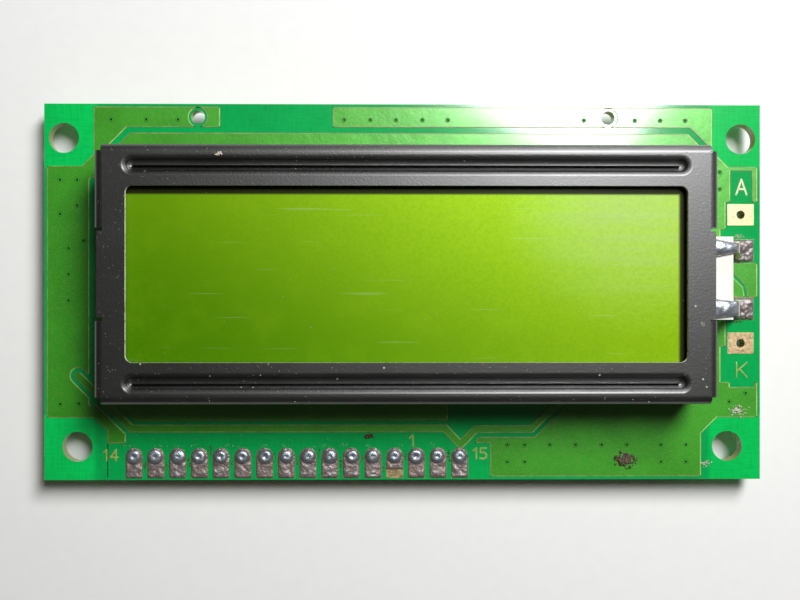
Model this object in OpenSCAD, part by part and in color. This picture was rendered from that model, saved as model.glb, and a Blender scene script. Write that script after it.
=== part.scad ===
// Character display module: a circuit board that carries a liquid crystal cell,
// its backlight and a folded sheet steel bezel. The display faces +Z. The origin
// is below the middle of the board, on the plane that the bezel's twisted tabs
// stand on, and +Y points away from the row of terminals.

/* [Circuit board] */
// Length of the board along X
board_l = 84; // [82:0.5:90]
// Width of the board along Y
board_w = 44; // [43.5:0.5:50]
// Thickness of the board
board_t = 1.6; // [0.8:0.1:2.4]
// Height of the board's underside above the plane it stands on
stand_h = 2.4; // [2:0.1:4]
// Thickness of the copper foil
foil_t = 0.05; // [0.03:0.01:0.1]
// Bare laminate left between the foil and the board's edge
foil_margin = 0.35; // [0.2:0.05:0.6]
// Width of a cleared channel in the foil
channel_w = 0.7; // [0.4:0.1:1]

/* [Holes] */
// Diameter of the four mounting holes
mount_hole_d = 3.5; // [2.5:0.1:3.6]
// Distance from the upper mounting holes to the board's short edges
upper_hole_gap = 2.3; // [2.2:0.1:3]
// Height of the upper mounting holes above the board's centre line
upper_hole_y = 18; // [17.5:0.1:18.2]
// Distance from the lower mounting holes to the board's short edges
lower_hole_gap = 3.9; // [2.5:0.1:4.5]
// Depth of the lower mounting holes below the board's centre line
lower_hole_y = 18.1; // [17.5:0.1:18.2]
// Diameter of the two locating holes
locating_hole_d = 1.6; // [1:0.1:1.8]
// Distance between the two locating holes
locating_hole_span = 48.1; // [44:0.1:52]
// Height of the locating holes above the board's centre line
locating_hole_y = 20.45; // [20:0.05:20.5]

/* [Terminals] */
// Number of terminals along the lower edge
pin_count = 16; // [14:1:16]
// Distance from one terminal to the next
pin_pitch = 2.54; // [2.5:0.01:2.56]
// Distance from the first terminal to the board's short edge
first_pin_gap = 10.5; // [10:0.1:11]
// Distance of the terminal holes from the board's lower edge
pin_edge_gap = 2.75; // [2.4:0.05:3]
// Diameter of the hole in a plated terminal
pin_hole_d = 1; // [0.8:0.05:1.1]
// Width of a terminal pad
pin_pad_w = 2; // [1.7:0.1:2.1]
// Distance from the end of a terminal pad to the board's edge
pad_edge_gap = 0.2; // [0.1:0.05:0.4]
// Wall of the copper plating in a hole
plating_t = 0.05; // [0.03:0.01:0.1]
// Height of the solder domes on the terminals
solder_h = 0.55; // [0.3:0.05:0.9]
// Height of the left-over solder beside each dome
solder_tail_h = 0.2; // [0.1:0.05:0.3]

/* [Bezel] */
// Width of board left free beyond each end of the bezel
board_end_margin = 7.85; // [7.5:0.05:9]
// Width of the bezel along Y
bezel_w = 28.5; // [27.5:0.1:29]
// Height of the bezel's face above the board
bezel_h = 8.8; // [8.6:0.1:10]
// Offset of the bezel's middle from the board's centre line
bezel_y = 1.8; // [1.5:0.1:2]
// Thickness of the sheet steel
sheet_t = 0.5; // [0.4:0.05:0.6]
// Outer radius of the folds
fold_r = 1; // [0.8:0.1:1.2]
// Side of the square relief cut at each corner
relief = 0.8; // [0.5:0.1:1]
// Width of the face beside the window, at each end
window_side = 3.45; // [2.5:0.05:5]
// Width of the face above and below the window
window_rail = 4.6; // [4.4:0.05:6]
// Corner radius of the window
window_r = 0.8; // [0.4:0.1:1.5]
// Distance from the middle of each pressed bead to the bezel's long edge
bead_edge_gap = 2.35; // [2.3:0.05:2.45]
// Width of a pressed bead at the face, with its rounded shoulders
bead_w = 2.4; // [2.2:0.1:2.5]
// Depth of a pressed bead
bead_d = 0.85; // [0.4:0.05:0.9]
// Radius of the shoulders of a pressed bead
bead_shoulder_r = 0.6; // [0.55:0.05:0.7]
// Distance from the end centre of a bead to the bezel's short edge
bead_end_gap = 4.15; // [3.5:0.05:7]
// Width of the gap in each short wall
wall_gap_w = 10.2; // [9.8:0.1:12]
// How far the face's cut edge at a wall gap lies inside the walls' outer faces
gap_lip_in = 0.4; // [0.1:0.05:0.6]

/* [Twist tabs] */
// Distance from each outer tab to the bezel's short edge
tab_end_gap = 5.65; // [4:0.05:9]
// Width of a twist tab
tab_w = 3; // [2:0.1:3.4]
// Clearance round a tab in its slot
tab_clearance = 0.2; // [0.1:0.05:0.3]
// Angle that each tab is twisted by
tab_twist = 35; // [20:1:45]

/* [Display cell] */
// Thickness of each glass
glass_t = 1.1; // [0.7:0.1:1.1]
// Thickness of each polarizing film
film_t = 0.2; // [0.15:0.05:0.3]
// Thickness of the sealed gap between the glasses
seal_t = 0.1; // [0.05:0.01:0.15]
// Width of the seal's frame
seal_w = 1.5; // [1:0.1:2]
// Gap from the glasses to the bezel's short walls
glass_end_gap = 0.95; // [0.5:0.05:1.5]
// Gap from the front glass to the bezel's long walls
glass_side_gap = 0.35; // [0.2:0.05:0.6]
// Gap from the rear glass to the connector strips
rear_glass_gap = 0.4; // [0.2:0.05:0.8]
// How far the polarizing films reach under the bezel past the window
film_reach = 0.6; // [0.3:0.05:0.8]
// Width of a rubber connector strip
strip_w = 2; // [1.6:0.1:2.2]
// Number of contact fingers in a row
finger_count = 48; // [40:1:48]
// Width of a contact finger
finger_w = 0.7; // [0.4:0.05:0.8]

/* [Backlight] */
// Gap from the backlight housing to the bezel's short walls
housing_end_gap = 1.15; // [0.6:0.05:2]
// Gap from the backlight housing to the connector strips
housing_side_gap = 0.6; // [0.3:0.05:1]
// Thickness of the housing's walls at the top
housing_wall = 1.4; // [1.2:0.1:1.8]
// How much further in the reflector walls stand at the bottom
reflector_slope = 1; // [0.5:0.1:1.5]
// Thickness of the diffuser
diffuser_t = 0.5; // [0.4:0.1:0.8]
// Height of the lug that reaches out of the bezel
lug_h = 4.8; // [4:0.1:5]
// Distance from the lug's end to the board's short edge
lug_edge_gap = 4.9; // [4.7:0.1:5.2]
// Width of the lug
lug_w = 9.4; // [9.2:0.1:9.6]
// Offset of the lug's middle from the board's centre line
lug_y = 1.5; // [1.4:0.1:1.6]
// Thickness of the light emitting board
led_board_t = 0.8; // [0.6:0.1:1]
// Number of light emitters in a row
led_count = 12; // [8:1:14]
// Distance from the outer light emitters to the end of their board
led_end_gap = 3.5; // [2.5:0.1:6]
// Distance between the two rows of light emitters
led_row_gap = 7; // [5:0.5:9]
// Radius of the clear drop over an emitter
led_r = 1; // [0.7:0.1:1.3]

/* [Backlight leads] */
// Place of the anode lead along Y
anode_y = 4.9; // [4.8:0.1:4.9]
// Place of the cathode lead along Y
cathode_y = -1.95; // [-1.95:0.05:-1.8]
// Width of a lead where it leaves the bezel
lead_w = 2.4; // [2:0.1:2.4]
// Thickness of a lead
lead_t = 0.3; // [0.2:0.05:0.35]
// Width of the anode lead at its bend
anode_neck_w = 1; // [0.8:0.1:2]
// Width of the cathode lead at its bend
cathode_neck_w = 1.6; // [0.8:0.1:2]
// Height of the solder on top of a lead
tinning_h = 0.4; // [0.2:0.05:0.6]
// Distance from a lead's solder pad to the board's short edge
lead_pad_edge_gap = 0.75; // [0.6:0.05:1]
// Length of a lead's solder pad
lead_pad_l = 3.2; // [2.8:0.1:3.3]
// Width of a lead's solder pad
lead_pad_w = 2.6; // [2.5:0.1:2.8]
// Height of the solder over a lead's foot
lead_solder_h = 1.1; // [0.8:0.05:1.3]
// Length of the two wire pads along X
wire_pad_l = 3.1; // [2.4:0.1:3.2]
// Width of the two wire pads along Y
wire_pad_w = 2.5; // [2.4:0.1:2.8]
// Distance from the wire holes to the board's short edge
wire_hole_edge_gap = 2.3; // [2.2:0.05:2.4]
// Place of the anode wire hole along Y
anode_wire_y = 9.1; // [9:0.1:9.5]
// Place of the cathode wire hole along Y
cathode_wire_y = -6; // [-6.2:0.1:-5.8]

/* [Rear components] */
// Place of the controller's drop along X
controller_x = -14; // [-16:0.5:-12]
// Place of the driver's drop along X
driver_x = 15; // [14:0.5:18]
// Radius of the drop over the controller
controller_r = 7; // [6:0.1:8]
// Radius of the drop over the driver
driver_r = 6; // [5:0.1:7]
// Height of the drops
drop_h = 1.5; // [1.2:0.1:1.8]
// Side of a silicon die
die_w = 3.6; // [3:0.1:4]
// Thickness of a silicon die
die_t = 0.4; // [0.3:0.05:0.5]
// Length of a chip component
chip_l = 2; // [1.6:0.1:2.2]
// Width of a chip component
chip_w = 1.25; // [0.8:0.05:1.4]
// Length of the metal cap at each end of a chip
chip_cap = 0.4; // [0.25:0.05:0.5]
// Height of a chip resistor
resistor_h = 0.55; // [0.4:0.05:0.7]
// Height of a chip capacitor
capacitor_h = 0.95; // [0.7:0.05:1.1]
// Number of chip resistors in the bias row
bias_count = 5; // [4:1:5]
// Distance between two resistors in the bias row
bias_pitch = 2.8; // [2.4:0.1:3.2]

/* [Hidden] */
$fn = 48;

// Heights
board_top = stand_h + board_t;
foil_top = board_top + foil_t;
face_z = board_top + bezel_h;
front_glass_top = face_z - sheet_t - bead_d;
front_glass_z = front_glass_top - glass_t;
seal_z = front_glass_z - seal_t;
rear_glass_z = seal_z - glass_t;
rear_film_z = rear_glass_z - film_t;
housing_top = rear_film_z;
// Cuts run past the faces they open by this much
over = 1;

// Board
half_l = board_l / 2;
half_w = board_w / 2;
upper_hole_x = half_l - upper_hole_gap;
lower_hole_x = half_l - lower_hole_gap;
first_pin_x = first_pin_gap - half_l;
pin_y = pin_edge_gap - half_w;
last_pin_x = first_pin_x + (pin_count - 1) * pin_pitch;
pad_end_y = pad_edge_gap - half_w;
plated_hole_d = pin_hole_d + 2 * plating_t;
ring_d = pin_pad_w - 0.2;

// Bezel
bezel_l = board_l - 2 * board_end_margin;
wall_y = bezel_w / 2 - sheet_t / 2;
window_l = bezel_l - 2 * window_side;
window_w = bezel_w - 2 * window_rail;
tab_x = bezel_l / 2 - tab_end_gap;
tab_xs = [-tab_x, 0, tab_x];
tab_turn_h = 0.8;
slot_l = tab_w + 2 * tab_clearance;
slot_w = sheet_t + 2 * tab_clearance;
bead_y = bezel_w / 2 - bead_edge_gap;
bead_l = bezel_l - 2 * bead_end_gap;
finger_pitch = bead_l / finger_count;
// The groove of a bead and its shoulders are arcs that meet at bead_turn
bead_arcs_r = (bead_w * bead_w / 4 + bead_d * bead_d) / (2 * bead_d);
bead_turn = asin(bead_w / 2 / bead_arcs_r);

// Display cell
glass_l = bezel_l - 2 * sheet_t - 2 * glass_end_gap;
front_glass_w = bezel_w - 2 * sheet_t - 2 * glass_side_gap;
rear_glass_w = 2 * bead_y - strip_w - 2 * rear_glass_gap;
film_l = window_l + 2 * film_reach;
film_w = window_w + 2 * film_reach;

// Backlight
housing_l = bezel_l - 2 * sheet_t - 2 * housing_end_gap;
housing_w = 2 * bead_y - strip_w - 2 * housing_side_gap;
lug_start_x = housing_l / 2;
lug_end_x = half_l - lug_edge_gap;
wire_hole_x = half_l - wire_hole_edge_gap;
leg_x = lug_start_x + 0.2;
lead_z = board_top + lug_h;
lead_clearance = 0.05;
lead_pad_end_x = half_l - lead_pad_edge_gap;
lead_pad_x = lead_pad_end_x - lead_pad_l / 2;
foot_end_x = lead_pad_end_x - 0.65;
neck_x = lug_end_x + 0.5;
foot_start_x = lug_end_x + 1.8;
taper_x = bezel_l / 2 - 0.1;
bend_r = 0.45;
drop_angle = 15;
leg_w = lead_w - 0.8;
led_board_l = housing_l - 2 * (housing_wall + reflector_slope) - 0.4;
led_board_w = housing_w - 2 * (housing_wall + reflector_slope) - 0.4;
led_pitch = (led_board_l - 2 * led_end_gap) / (led_count - 1);
tongue_end_x = lug_start_x + 1.5;
tongue_w = lug_w - 1;

// ---------------------------------------------------------------- helpers

// Points along an arc about a centre, from one angle to another
function arc(centre, r, from, to, steps = 6) = [
    for (i = [0 : steps])
        let (a = from + (to - from) * i / steps)
            centre + r * [cos(a), sin(a)]
];

// A flat plate with square corners, centred on X and Y
module plate(l, w, t) {
    translate([-l / 2, -w / 2, 0]) cube([l, w, t]);
}

// A flat outline with round corners, centred on X and Y
module round_rect(l, w, r) {
    square([l - 2 * r, w], center = true);
    square([l, w - 2 * r], center = true);
    for (sx = [-1, 1], sy = [-1, 1]) {
        translate([sx * (l / 2 - r), sy * (w / 2 - r)]) circle(r);
    }
}

// A cap of a ball that is r wide at its foot and h high
module cap(r, h) {
    ball = (r * r + h * h) / (2 * h);
    intersection() {
        translate([0, 0, h - ball]) sphere(ball, $fn = 200);
        cylinder(r = r + over, h = h + over);
    }
}

// A long low pillow along X: w wide at its foot and h high
module pillow(l, w, h) {
    roll = (w * w / 4 + h * h) / (2 * h);
    intersection() {
        translate([-l / 2, 0, h - roll]) rotate([0, 90, 0]) cylinder(r = roll, h = l, $fn = 64);
        translate([-l / 2, -w / 2, 0]) cube([l, w, h]);
    }
}

// Places its children at each terminal
module at_pins() {
    for (i = [0 : pin_count - 1]) {
        translate([first_pin_x + i * pin_pitch, pin_y, 0]) children();
    }
}

// Places its children at each of the six twist tabs
module at_tabs() {
    for (x = tab_xs, side = [-1, 1]) {
        translate([x, bezel_y + side * wall_y, 0]) children();
    }
}

// Places its children at the four mounting holes
module at_mounting_holes() {
    for (side = [-1, 1]) {
        translate([side * upper_hole_x, upper_hole_y, 0]) children();
        translate([side * lower_hole_x, -lower_hole_y, 0]) children();
    }
}

// Places its children at the two locating holes
module at_locating_holes() {
    for (side = [-1, 1]) {
        translate([side * locating_hole_span / 2, locating_hole_y, 0]) children();
    }
}

// Places its children at the two wire holes
module at_wire_holes() {
    for (y = [anode_wire_y, cathode_wire_y]) {
        translate([wire_hole_x, y, 0]) children();
    }
}

// ---------------------------------------------------------------- board

module circuit_board() color("seagreen") {
    difference() {
        translate([0, 0, stand_h]) plate(board_l, board_w, board_t);
        translate([0, 0, stand_h - over]) {
            at_mounting_holes() cylinder(d = mount_hole_d, h = board_t + 2 * over);
            at_locating_holes() cylinder(d = locating_hole_d, h = board_t + 2 * over);
            at_pins() cylinder(d = plated_hole_d, h = board_t + 2 * over);
            at_wire_holes() cylinder(d = plated_hole_d, h = board_t + 2 * over);
            at_tabs() plate(slot_l, slot_w, board_t + 2 * over);
        }
    }
}

// The bare corner round a mounting hole: reach_x and reach_y are the foil's
// edges, and bevel is the slanted corner between them
module bare_corner(side_x, side_y, reach_x, reach_y, bevel) {
    polygon([
        [side_x * half_l, side_y * half_w],
        [side_x * reach_x, side_y * half_w],
        [side_x * reach_x, side_y * (reach_y + bevel)],
        [side_x * (reach_x + bevel), side_y * reach_y],
        [side_x * half_l, side_y * reach_y]
    ]);
}

// A straight cleared channel of the given width between two points, round-ended
module channel(a, b, w) {
    run = b - a;
    translate(a) rotate(atan2(run.y, run.x)) translate([0, -w / 2]) square([norm(run), w]);
    translate(a) circle(d = w);
    translate(b) circle(d = w);
}

// The outline of a trace of width w along a path, with mitred turns, a round start
// and a square end
function unit(v) = v / norm(v);
function left_of(v) = [-v.y, v.x];
function trace_side(path, w, side) = [
    for (i = [1 : len(path) - 1])
        let (
            before = unit(path[i] - path[i - 1]),
            after = i < len(path) - 1 ? unit(path[i + 1] - path[i]) : before,
            middle = unit(left_of(before) + left_of(after))
        )
            path[i] + side * middle * w / 2 / (middle * left_of(before))
];
function trace_outline(path, w) =
    let (
        way = path[1] - path[0],
        heading = atan2(way.y, way.x),
        right = trace_side(path, w, -1)
    )
    concat(
        arc(path[0], w / 2, heading + 270, heading + 90, 8),
        trace_side(path, w, 1),
        [for (i = [len(right) - 1 : -1 : 0]) right[i]]
    );

// The supply trace: from beside the lower left corner, along the row of terminals,
// down to the last one and up again under the bezel
supply_y = -16;
supply_w = 0.87;
supply_clearance = 0.5;
supply_path = [
    [4 - half_l, supply_y + 6.2],
    [10.2 - half_l, supply_y],
    [last_pin_x - 1.7, supply_y],
    [last_pin_x + 0.1, supply_y - 1.9],
    [last_pin_x + 1.9, supply_y - 0.1],
    [15, supply_y - 0.1],
    [18.5, supply_y + 3.4]
];

// The bare field round the terminals, and the bare field above the supply trace
field_l = 7.5 - half_l;
field_tab_r = field_l + 2;
field_tab_low = -17.7;
field_r = last_pin_x + 3.6;
module terminal_field() {
    field_top = supply_y - supply_w / 2 - 0.1;
    inner_top = -13.2;
    inner_l = last_pin_x - 1.4;
    inner_r = 17.4;
    polygon([
        [field_l, -half_w], [field_l, field_tab_low], [field_tab_r, field_tab_low],
        [field_tab_r, field_top], [field_r - 1.8, field_top], [field_r - 1.8, field_tab_low],
        [field_r, field_tab_low], [field_r, -half_w]
    ]);
    polygon([
        [inner_l, inner_top], [inner_l, supply_y], [last_pin_x, supply_y - 1.5],
        [last_pin_x + 1.6, supply_y], [inner_r - 2.8, supply_y], [inner_r, inner_top]
    ]);
}

// The bare windows round the wire holes and their letters, measured in from the
// board's short edge, and the thin channel between the leads' pads
bare_inner = 4.1;
bare_letter = 4.7;
module edge_window(reach, low, high) {
    translate([half_l - reach, low]) square([reach, high - low]);
}
module wire_field() {
    edge_window(bare_inner, anode_wire_y - 1.9, anode_wire_y + 1.5);
    translate([half_l - 3.55, anode_wire_y + 0.9]) square([2.6, 4.3]);
    edge_window(bare_letter, anode_y - 1.5, anode_y + 2.5);
    edge_window(bare_inner, cathode_y - 2.35, cathode_y + 1.35);
    edge_window(bare_inner, cathode_wire_y - 0.5, cathode_wire_y + 2.6);
    edge_window(bare_letter, cathode_wire_y - 4.6, cathode_wire_y - 0.4);
    translate([half_l - 3.6, cathode_wire_y - 5.2]) square([2.95, 1]);
    polygon(trace_outline([[half_l - 3.4, 2.2], [half_l - 1.9, 0.7], [half_l - 1.6, -0.8]], 0.35));
}

// The foil of the upper side before its supply trace is drawn
corner_w = 7.3;
rail_y = 18.95;
module copper_pour() {
    ring_gap = 1.1;
    bend = 2.4;
    run_l = 9.8 - half_l;
    run_r = half_l - 8.4;
    difference() {
        square([board_l - 2 * foil_margin, board_w - 2 * foil_margin], center = true);
        // corners
        bare_corner(-1, 1, half_l - 5.8, half_w - corner_w, 1.4);
        bare_corner(1, 1, half_l - 5.7, half_w - corner_w, 1.9);
        bare_corner(1, -1, half_l - 7, half_w - corner_w, 1.9);
        bare_corner(-1, -1, half_l - 7.4, half_w - corner_w, 1.5);
        // upper strips, the bare field between them and the channel below them
        translate([-21.5, 19]) square([13.2, 3]);
        channel([run_l, rail_y], [run_r, rail_y], channel_w);
        channel([run_l, rail_y], [run_l - bend, rail_y - bend], channel_w);
        channel([run_r, rail_y], [run_r + bend, rail_y - bend], channel_w);
        channel([5.6 - half_l, 13], [5.6 - half_l, -13], channel_w);
        at_locating_holes() {
            circle(ring_gap);
            translate([-channel_w / 2, -1.4]) square([channel_w, 1.4]);
        }
        terminal_field();
        wire_field();
        polygon(trace_outline(supply_path, supply_w + 2 * supply_clearance));
    }
}

module top_copper() color("olivedrab") {
    translate([0, 0, board_top]) linear_extrude(foil_t) difference() {
        union() {
            copper_pour();
            polygon(trace_outline(supply_path, supply_w));
        }
        at_pins() circle(d = pin_pad_w);
        // room for the tabs and for the contact fingers
        at_tabs() square([slot_l + 1, slot_w + 1], center = true);
        for (side = [-1, 1]) {
            translate([0, bezel_y + side * bead_y]) square([bead_l + 3, strip_w + 0.6], center = true);
        }
    }
}

// Plated pad with a hole: the pad on the top, its ring below and the barrel between
module barrel() {
    difference() {
        union() {
            translate([0, 0, stand_h - foil_t]) cylinder(d = plated_hole_d, h = board_t + 2 * foil_t);
            children();
            translate([0, 0, stand_h - foil_t]) cylinder(d = ring_d, h = foil_t);
        }
        translate([0, 0, stand_h - over]) cylinder(d = pin_hole_d, h = board_t + 2 * over);
    }
}

module terminal_pads() color("goldenrod") {
    at_pins() barrel() translate([0, 0, board_top]) {
        cylinder(d = pin_pad_w, h = foil_t);
        translate([-pin_pad_w / 2, pad_end_y - pin_y, 0]) cube([pin_pad_w, pin_y - pad_end_y, foil_t]);
    }
}

module terminal_solder() color("silver") {
    tail_start = 0.5;
    tail_l = pin_y - pad_end_y - tail_start - 0.2;
    at_pins() {
        translate([0, 0, stand_h - foil_t]) cylinder(d = pin_hole_d, h = board_t + 2 * foil_t);
        translate([0, 0, foil_top]) cap(pin_pad_w / 2 - 0.1, solder_h);
        translate([0, 0, stand_h - foil_t]) mirror([0, 0, 1]) cap(ring_d / 2 - 0.1, solder_h);
        translate([0, -tail_start - tail_l / 2, foil_top]) rotate(90) {
            pillow(tail_l, pin_pad_w - 0.3, solder_tail_h);
        }
    }
}

module wire_hole_pads() color("goldenrod") {
    at_wire_holes() barrel() translate([0, 0, board_top]) plate(wire_pad_l, wire_pad_w, foil_t);
}

module lead_pads() color("goldenrod") {
    for (y = [anode_y, cathode_y]) {
        translate([lead_pad_x, y, board_top]) plate(lead_pad_l, lead_pad_w, foil_t);
    }
}

module contact_fingers() color("gold") {
    for (side = [-1, 1], i = [0 : finger_count - 1]) {
        x = (i - (finger_count - 1) / 2) * finger_pitch;
        translate([x, bezel_y + side * bead_y, board_top]) plate(finger_w, strip_w, foil_t);
    }
}

// ---------------------------------------------------------------- bezel

// A quarter of a round fold along X, from the face down to the wall
module fold(l) {
    translate([-l / 2, 0, -fold_r]) rotate([0, 90, 0]) intersection() {
        difference() {
            cylinder(r = fold_r, h = l);
            translate([0, 0, -over]) cylinder(r = fold_r - sheet_t, h = l + 2 * over);
        }
        translate([-fold_r, 0, 0]) cube([fold_r, fold_r, l]);
    }
}

// A fold with its wall, whose outer face lies at y = fold_r
module folded_wall(l) {
    fold(l);
    wall_h = bezel_h - foil_t - fold_r;
    translate([-l / 2, fold_r - sheet_t, -fold_r - wall_h]) cube([l, sheet_t, wall_h]);
}

// Half the section of a pressed bead, from its middle out to its shoulder and closed
// at the height shut_z. It lies inset below the face: 0 gives the groove, and the
// sheet's thickness gives the underside
function bead_half(inset, shut_z) =
    let (groove_r = bead_arcs_r - bead_shoulder_r)
    concat(
        [[0, shut_z]],
        arc([0, groove_r - bead_d], groove_r + inset, -90, bead_turn - 90, 10),
        arc([bead_w / 2, -bead_shoulder_r], bead_shoulder_r - inset, bead_turn + 90, 90, 10),
        [[bead_w / 2, shut_z]]
    );

// A straight bead with a half-round end at each side
module bead_body(inset, shut_z) {
    half = bead_half(inset, shut_z);
    other = [for (i = [len(half) - 1 : -1 : 1]) [-half[i].x, half[i].y]];
    rotate([90, 0, 90]) translate([0, 0, -bead_l / 2]) linear_extrude(bead_l) {
        polygon(concat(half, [for (p = other) if (p.x < 0) p]));
    }
    for (side = [-1, 1]) {
        translate([side * bead_l / 2, 0, 0]) rotate(-side * 90) rotate_extrude(angle = 180) {
            polygon(half);
        }
    }
}

// A tab that passes through the board and is twisted below it: one ring of four
// corners at each level, turned by that level's share of the twist
module twist_tab() {
    steps = 4;
    levels = concat(
        [[board_top + foil_t + sheet_t, 0]],
        [for (i = [0 : steps]) [stand_h - tab_turn_h * i / steps, tab_twist * i / steps]],
        [[0, tab_twist]]
    );
    corners = [[-1, -1], [1, -1], [1, 1], [-1, 1]];
    points = [
        for (level = levels, c = corners)
            let (x = c.x * tab_w / 2, y = c.y * sheet_t / 2, a = level[1])
                [x * cos(a) - y * sin(a), x * sin(a) + y * cos(a), level[0]]
    ];
    last = 4 * (len(levels) - 1);
    sides = [
        for (i = [0 : len(levels) - 2], k = [0 : 3], half = [0, 1])
            let (a = 4 * i + k, b = 4 * i + (k + 1) % 4)
                half == 0 ? [a, b, b + 4] : [a, b + 4, a + 4]
    ];
    polyhedron(points, concat([[3, 2, 1, 0]], sides, [[last, last + 1, last + 2, last + 3]]));
}

module bezel() color([0.16, 0.16, 0.17]) {
    flap_l = (bezel_w - 2 * relief - wall_gap_w) / 2;
    translate([0, bezel_y, face_z]) {
        difference() {
            union() {
                translate([0, 0, -sheet_t]) {
                    plate(bezel_l - 2 * fold_r, bezel_w - 2 * fold_r, sheet_t);
                    plate(bezel_l - 2 * gap_lip_in, wall_gap_w - 2 * gap_lip_in, sheet_t);
                }
                for (side = [-1, 1]) {
                    translate([0, side * bead_y, 0]) bead_body(sheet_t, -sheet_t / 2);
                }
            }
            translate([0, 0, -sheet_t - over]) linear_extrude(sheet_t + 2 * over) {
                round_rect(window_l, window_w, window_r);
            }
            for (side = [-1, 1]) {
                translate([0, side * bead_y, 0]) bead_body(0, over);
            }
        }
        for (turn = [0, 180]) {
            rotate(turn) {
                translate([0, bezel_w / 2 - fold_r, 0]) folded_wall(bezel_l - 2 * relief);
                for (side = [-1, 1]) {
                    translate([bezel_l / 2 - fold_r, side * (wall_gap_w + flap_l) / 2, 0]) rotate(-90) {
                        folded_wall(flap_l);
                    }
                }
            }
        }
    }
    at_tabs() twist_tab();
}

// ---------------------------------------------------------------- display cell

module front_polarizer() color([0.75, 0.85, 0.35, 0.6]) {
    translate([0, bezel_y, front_glass_top]) plate(film_l, film_w, film_t);
}

module front_glass() color([0.8, 0.9, 0.85, 0.5]) {
    translate([0, bezel_y, front_glass_z]) plate(glass_l, front_glass_w, glass_t);
}

module cell_seal() color("gainsboro") {
    translate([0, bezel_y, seal_z]) difference() {
        plate(glass_l - 1, rear_glass_w - 0.4, seal_t);
        translate([0, 0, -over]) {
            plate(glass_l - 1 - 2 * seal_w, rear_glass_w - 0.4 - 2 * seal_w, seal_t + 2 * over);
        }
    }
}

module rear_glass() color([0.8, 0.9, 0.85, 0.5]) {
    translate([0, bezel_y, rear_glass_z]) plate(glass_l, rear_glass_w, glass_t);
}

module rear_polarizer() color([0.7, 0.75, 0.4, 0.6]) {
    translate([0, bezel_y, rear_film_z]) plate(film_l, film_w, film_t);
}

// A rubber strip that joins the board's fingers to the front glass
module connector_strip() {
    translate([0, 0, foil_top]) plate(bead_l, strip_w, front_glass_z - foil_top);
}

module upper_connector_strip() color("dimgray") {
    translate([0, bezel_y + bead_y, 0]) connector_strip();
}

module lower_connector_strip() color("dimgray") {
    translate([0, bezel_y - bead_y, 0]) connector_strip();
}

// ---------------------------------------------------------------- backlight

module diffuser() color([0.95, 0.97, 0.85]) {
    translate([0, bezel_y, housing_top - diffuser_t]) {
        plate(housing_l - housing_wall, housing_w - housing_wall, diffuser_t);
    }
}

// A cavity whose walls lean in towards the bottom
module reflector_cavity(l, w, h) {
    lower_l = l - 2 * reflector_slope;
    lower_w = w - 2 * reflector_slope;
    intersection() {
        translate([0, w, 0]) rotate([90, 0, 0]) linear_extrude(2 * w) {
            polygon([[-lower_l / 2, 0], [lower_l / 2, 0], [l / 2, h], [-l / 2, h]]);
        }
        translate([-l, 0, 0]) rotate([90, 0, 90]) linear_extrude(2 * l) {
            polygon([[-lower_w / 2, 0], [lower_w / 2, 0], [w / 2, h], [-w / 2, h]]);
        }
    }
}

module backlight_housing() color("whitesmoke") {
    cavity_l = housing_l - 2 * housing_wall;
    cavity_w = housing_w - 2 * housing_wall;
    cavity_h = housing_top - board_top;
    lug_l = lug_end_x - lug_start_x;
    difference() {
        union() {
            translate([0, bezel_y, foil_top]) plate(housing_l, housing_w, housing_top - foil_top);
            translate([lug_start_x, lug_y - lug_w / 2, foil_top]) cube([lug_l, lug_w, lead_z - foil_top]);
        }
        translate([0, bezel_y, board_top]) reflector_cavity(cavity_l, cavity_w, cavity_h);
        translate([0, bezel_y, housing_top - diffuser_t]) {
            plate(housing_l - housing_wall, housing_w - housing_wall, diffuser_t + over);
        }
        translate([0, lug_y - tongue_w / 2, board_top - over]) {
            cube([tongue_end_x, tongue_w, over + foil_t + led_board_t]);
        }
        for (y = [anode_y, cathode_y]) {
            translate([leg_x + lead_t / 2, y, board_top]) {
                plate(lead_t + 2 * lead_clearance, leg_w + 2 * lead_clearance, lug_h + over);
            }
        }
    }
}

module led_board() color("white") {
    translate([0, bezel_y, foil_top]) plate(led_board_l, led_board_w, led_board_t);
    translate([0, lug_y - tongue_w / 2, foil_top]) cube([tongue_end_x, tongue_w, led_board_t]);
}

module led_drops() color("lightyellow") {
    for (i = [0 : led_count - 1], side = [-1, 1]) {
        x = (i - (led_count - 1) / 2) * led_pitch;
        translate([x, bezel_y + side * led_row_gap / 2, foil_top + led_board_t]) cap(led_r, led_r * 0.6);
    }
}

// The side view of a lead: a leg on the light emitting board, a run over the lug,
// a round bend past the lug's end and a foot on its pad
module lead_profile() {
    leg_foot = foil_top + led_board_t;
    bend = [lug_end_x + 0.1, lead_z - bend_r];
    polygon(concat(
        [[leg_x, leg_foot], [leg_x, lead_z + lead_t]],
        arc(bend, bend_r + lead_t, 90, drop_angle),
        [[foot_start_x + lead_t, foil_top + lead_t], [foot_end_x, foil_top + lead_t]],
        [[foot_end_x, foil_top], [foot_start_x, foil_top]],
        arc(bend, bend_r, drop_angle, 90),
        [[leg_x + lead_t, lead_z], [leg_x + lead_t, leg_foot]]
    ));
}

// The outline of a lead seen from above: wide under the bezel and on its foot,
// and narrow at its bend
module lead_outline(neck_w) {
    foot_w = lead_w - 0.3;
    half = [
        [leg_x, leg_w / 2], [leg_x + lead_t, leg_w / 2], [leg_x + lead_t + 0.3, lead_w / 2],
        [taper_x, lead_w / 2], [neck_x, neck_w / 2], [foot_start_x, foot_w / 2],
        [foot_end_x, foot_w / 2]
    ];
    polygon(concat(half, [for (i = [len(half) - 1 : -1 : 0]) [half[i].x, -half[i].y]]));
}

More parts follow.
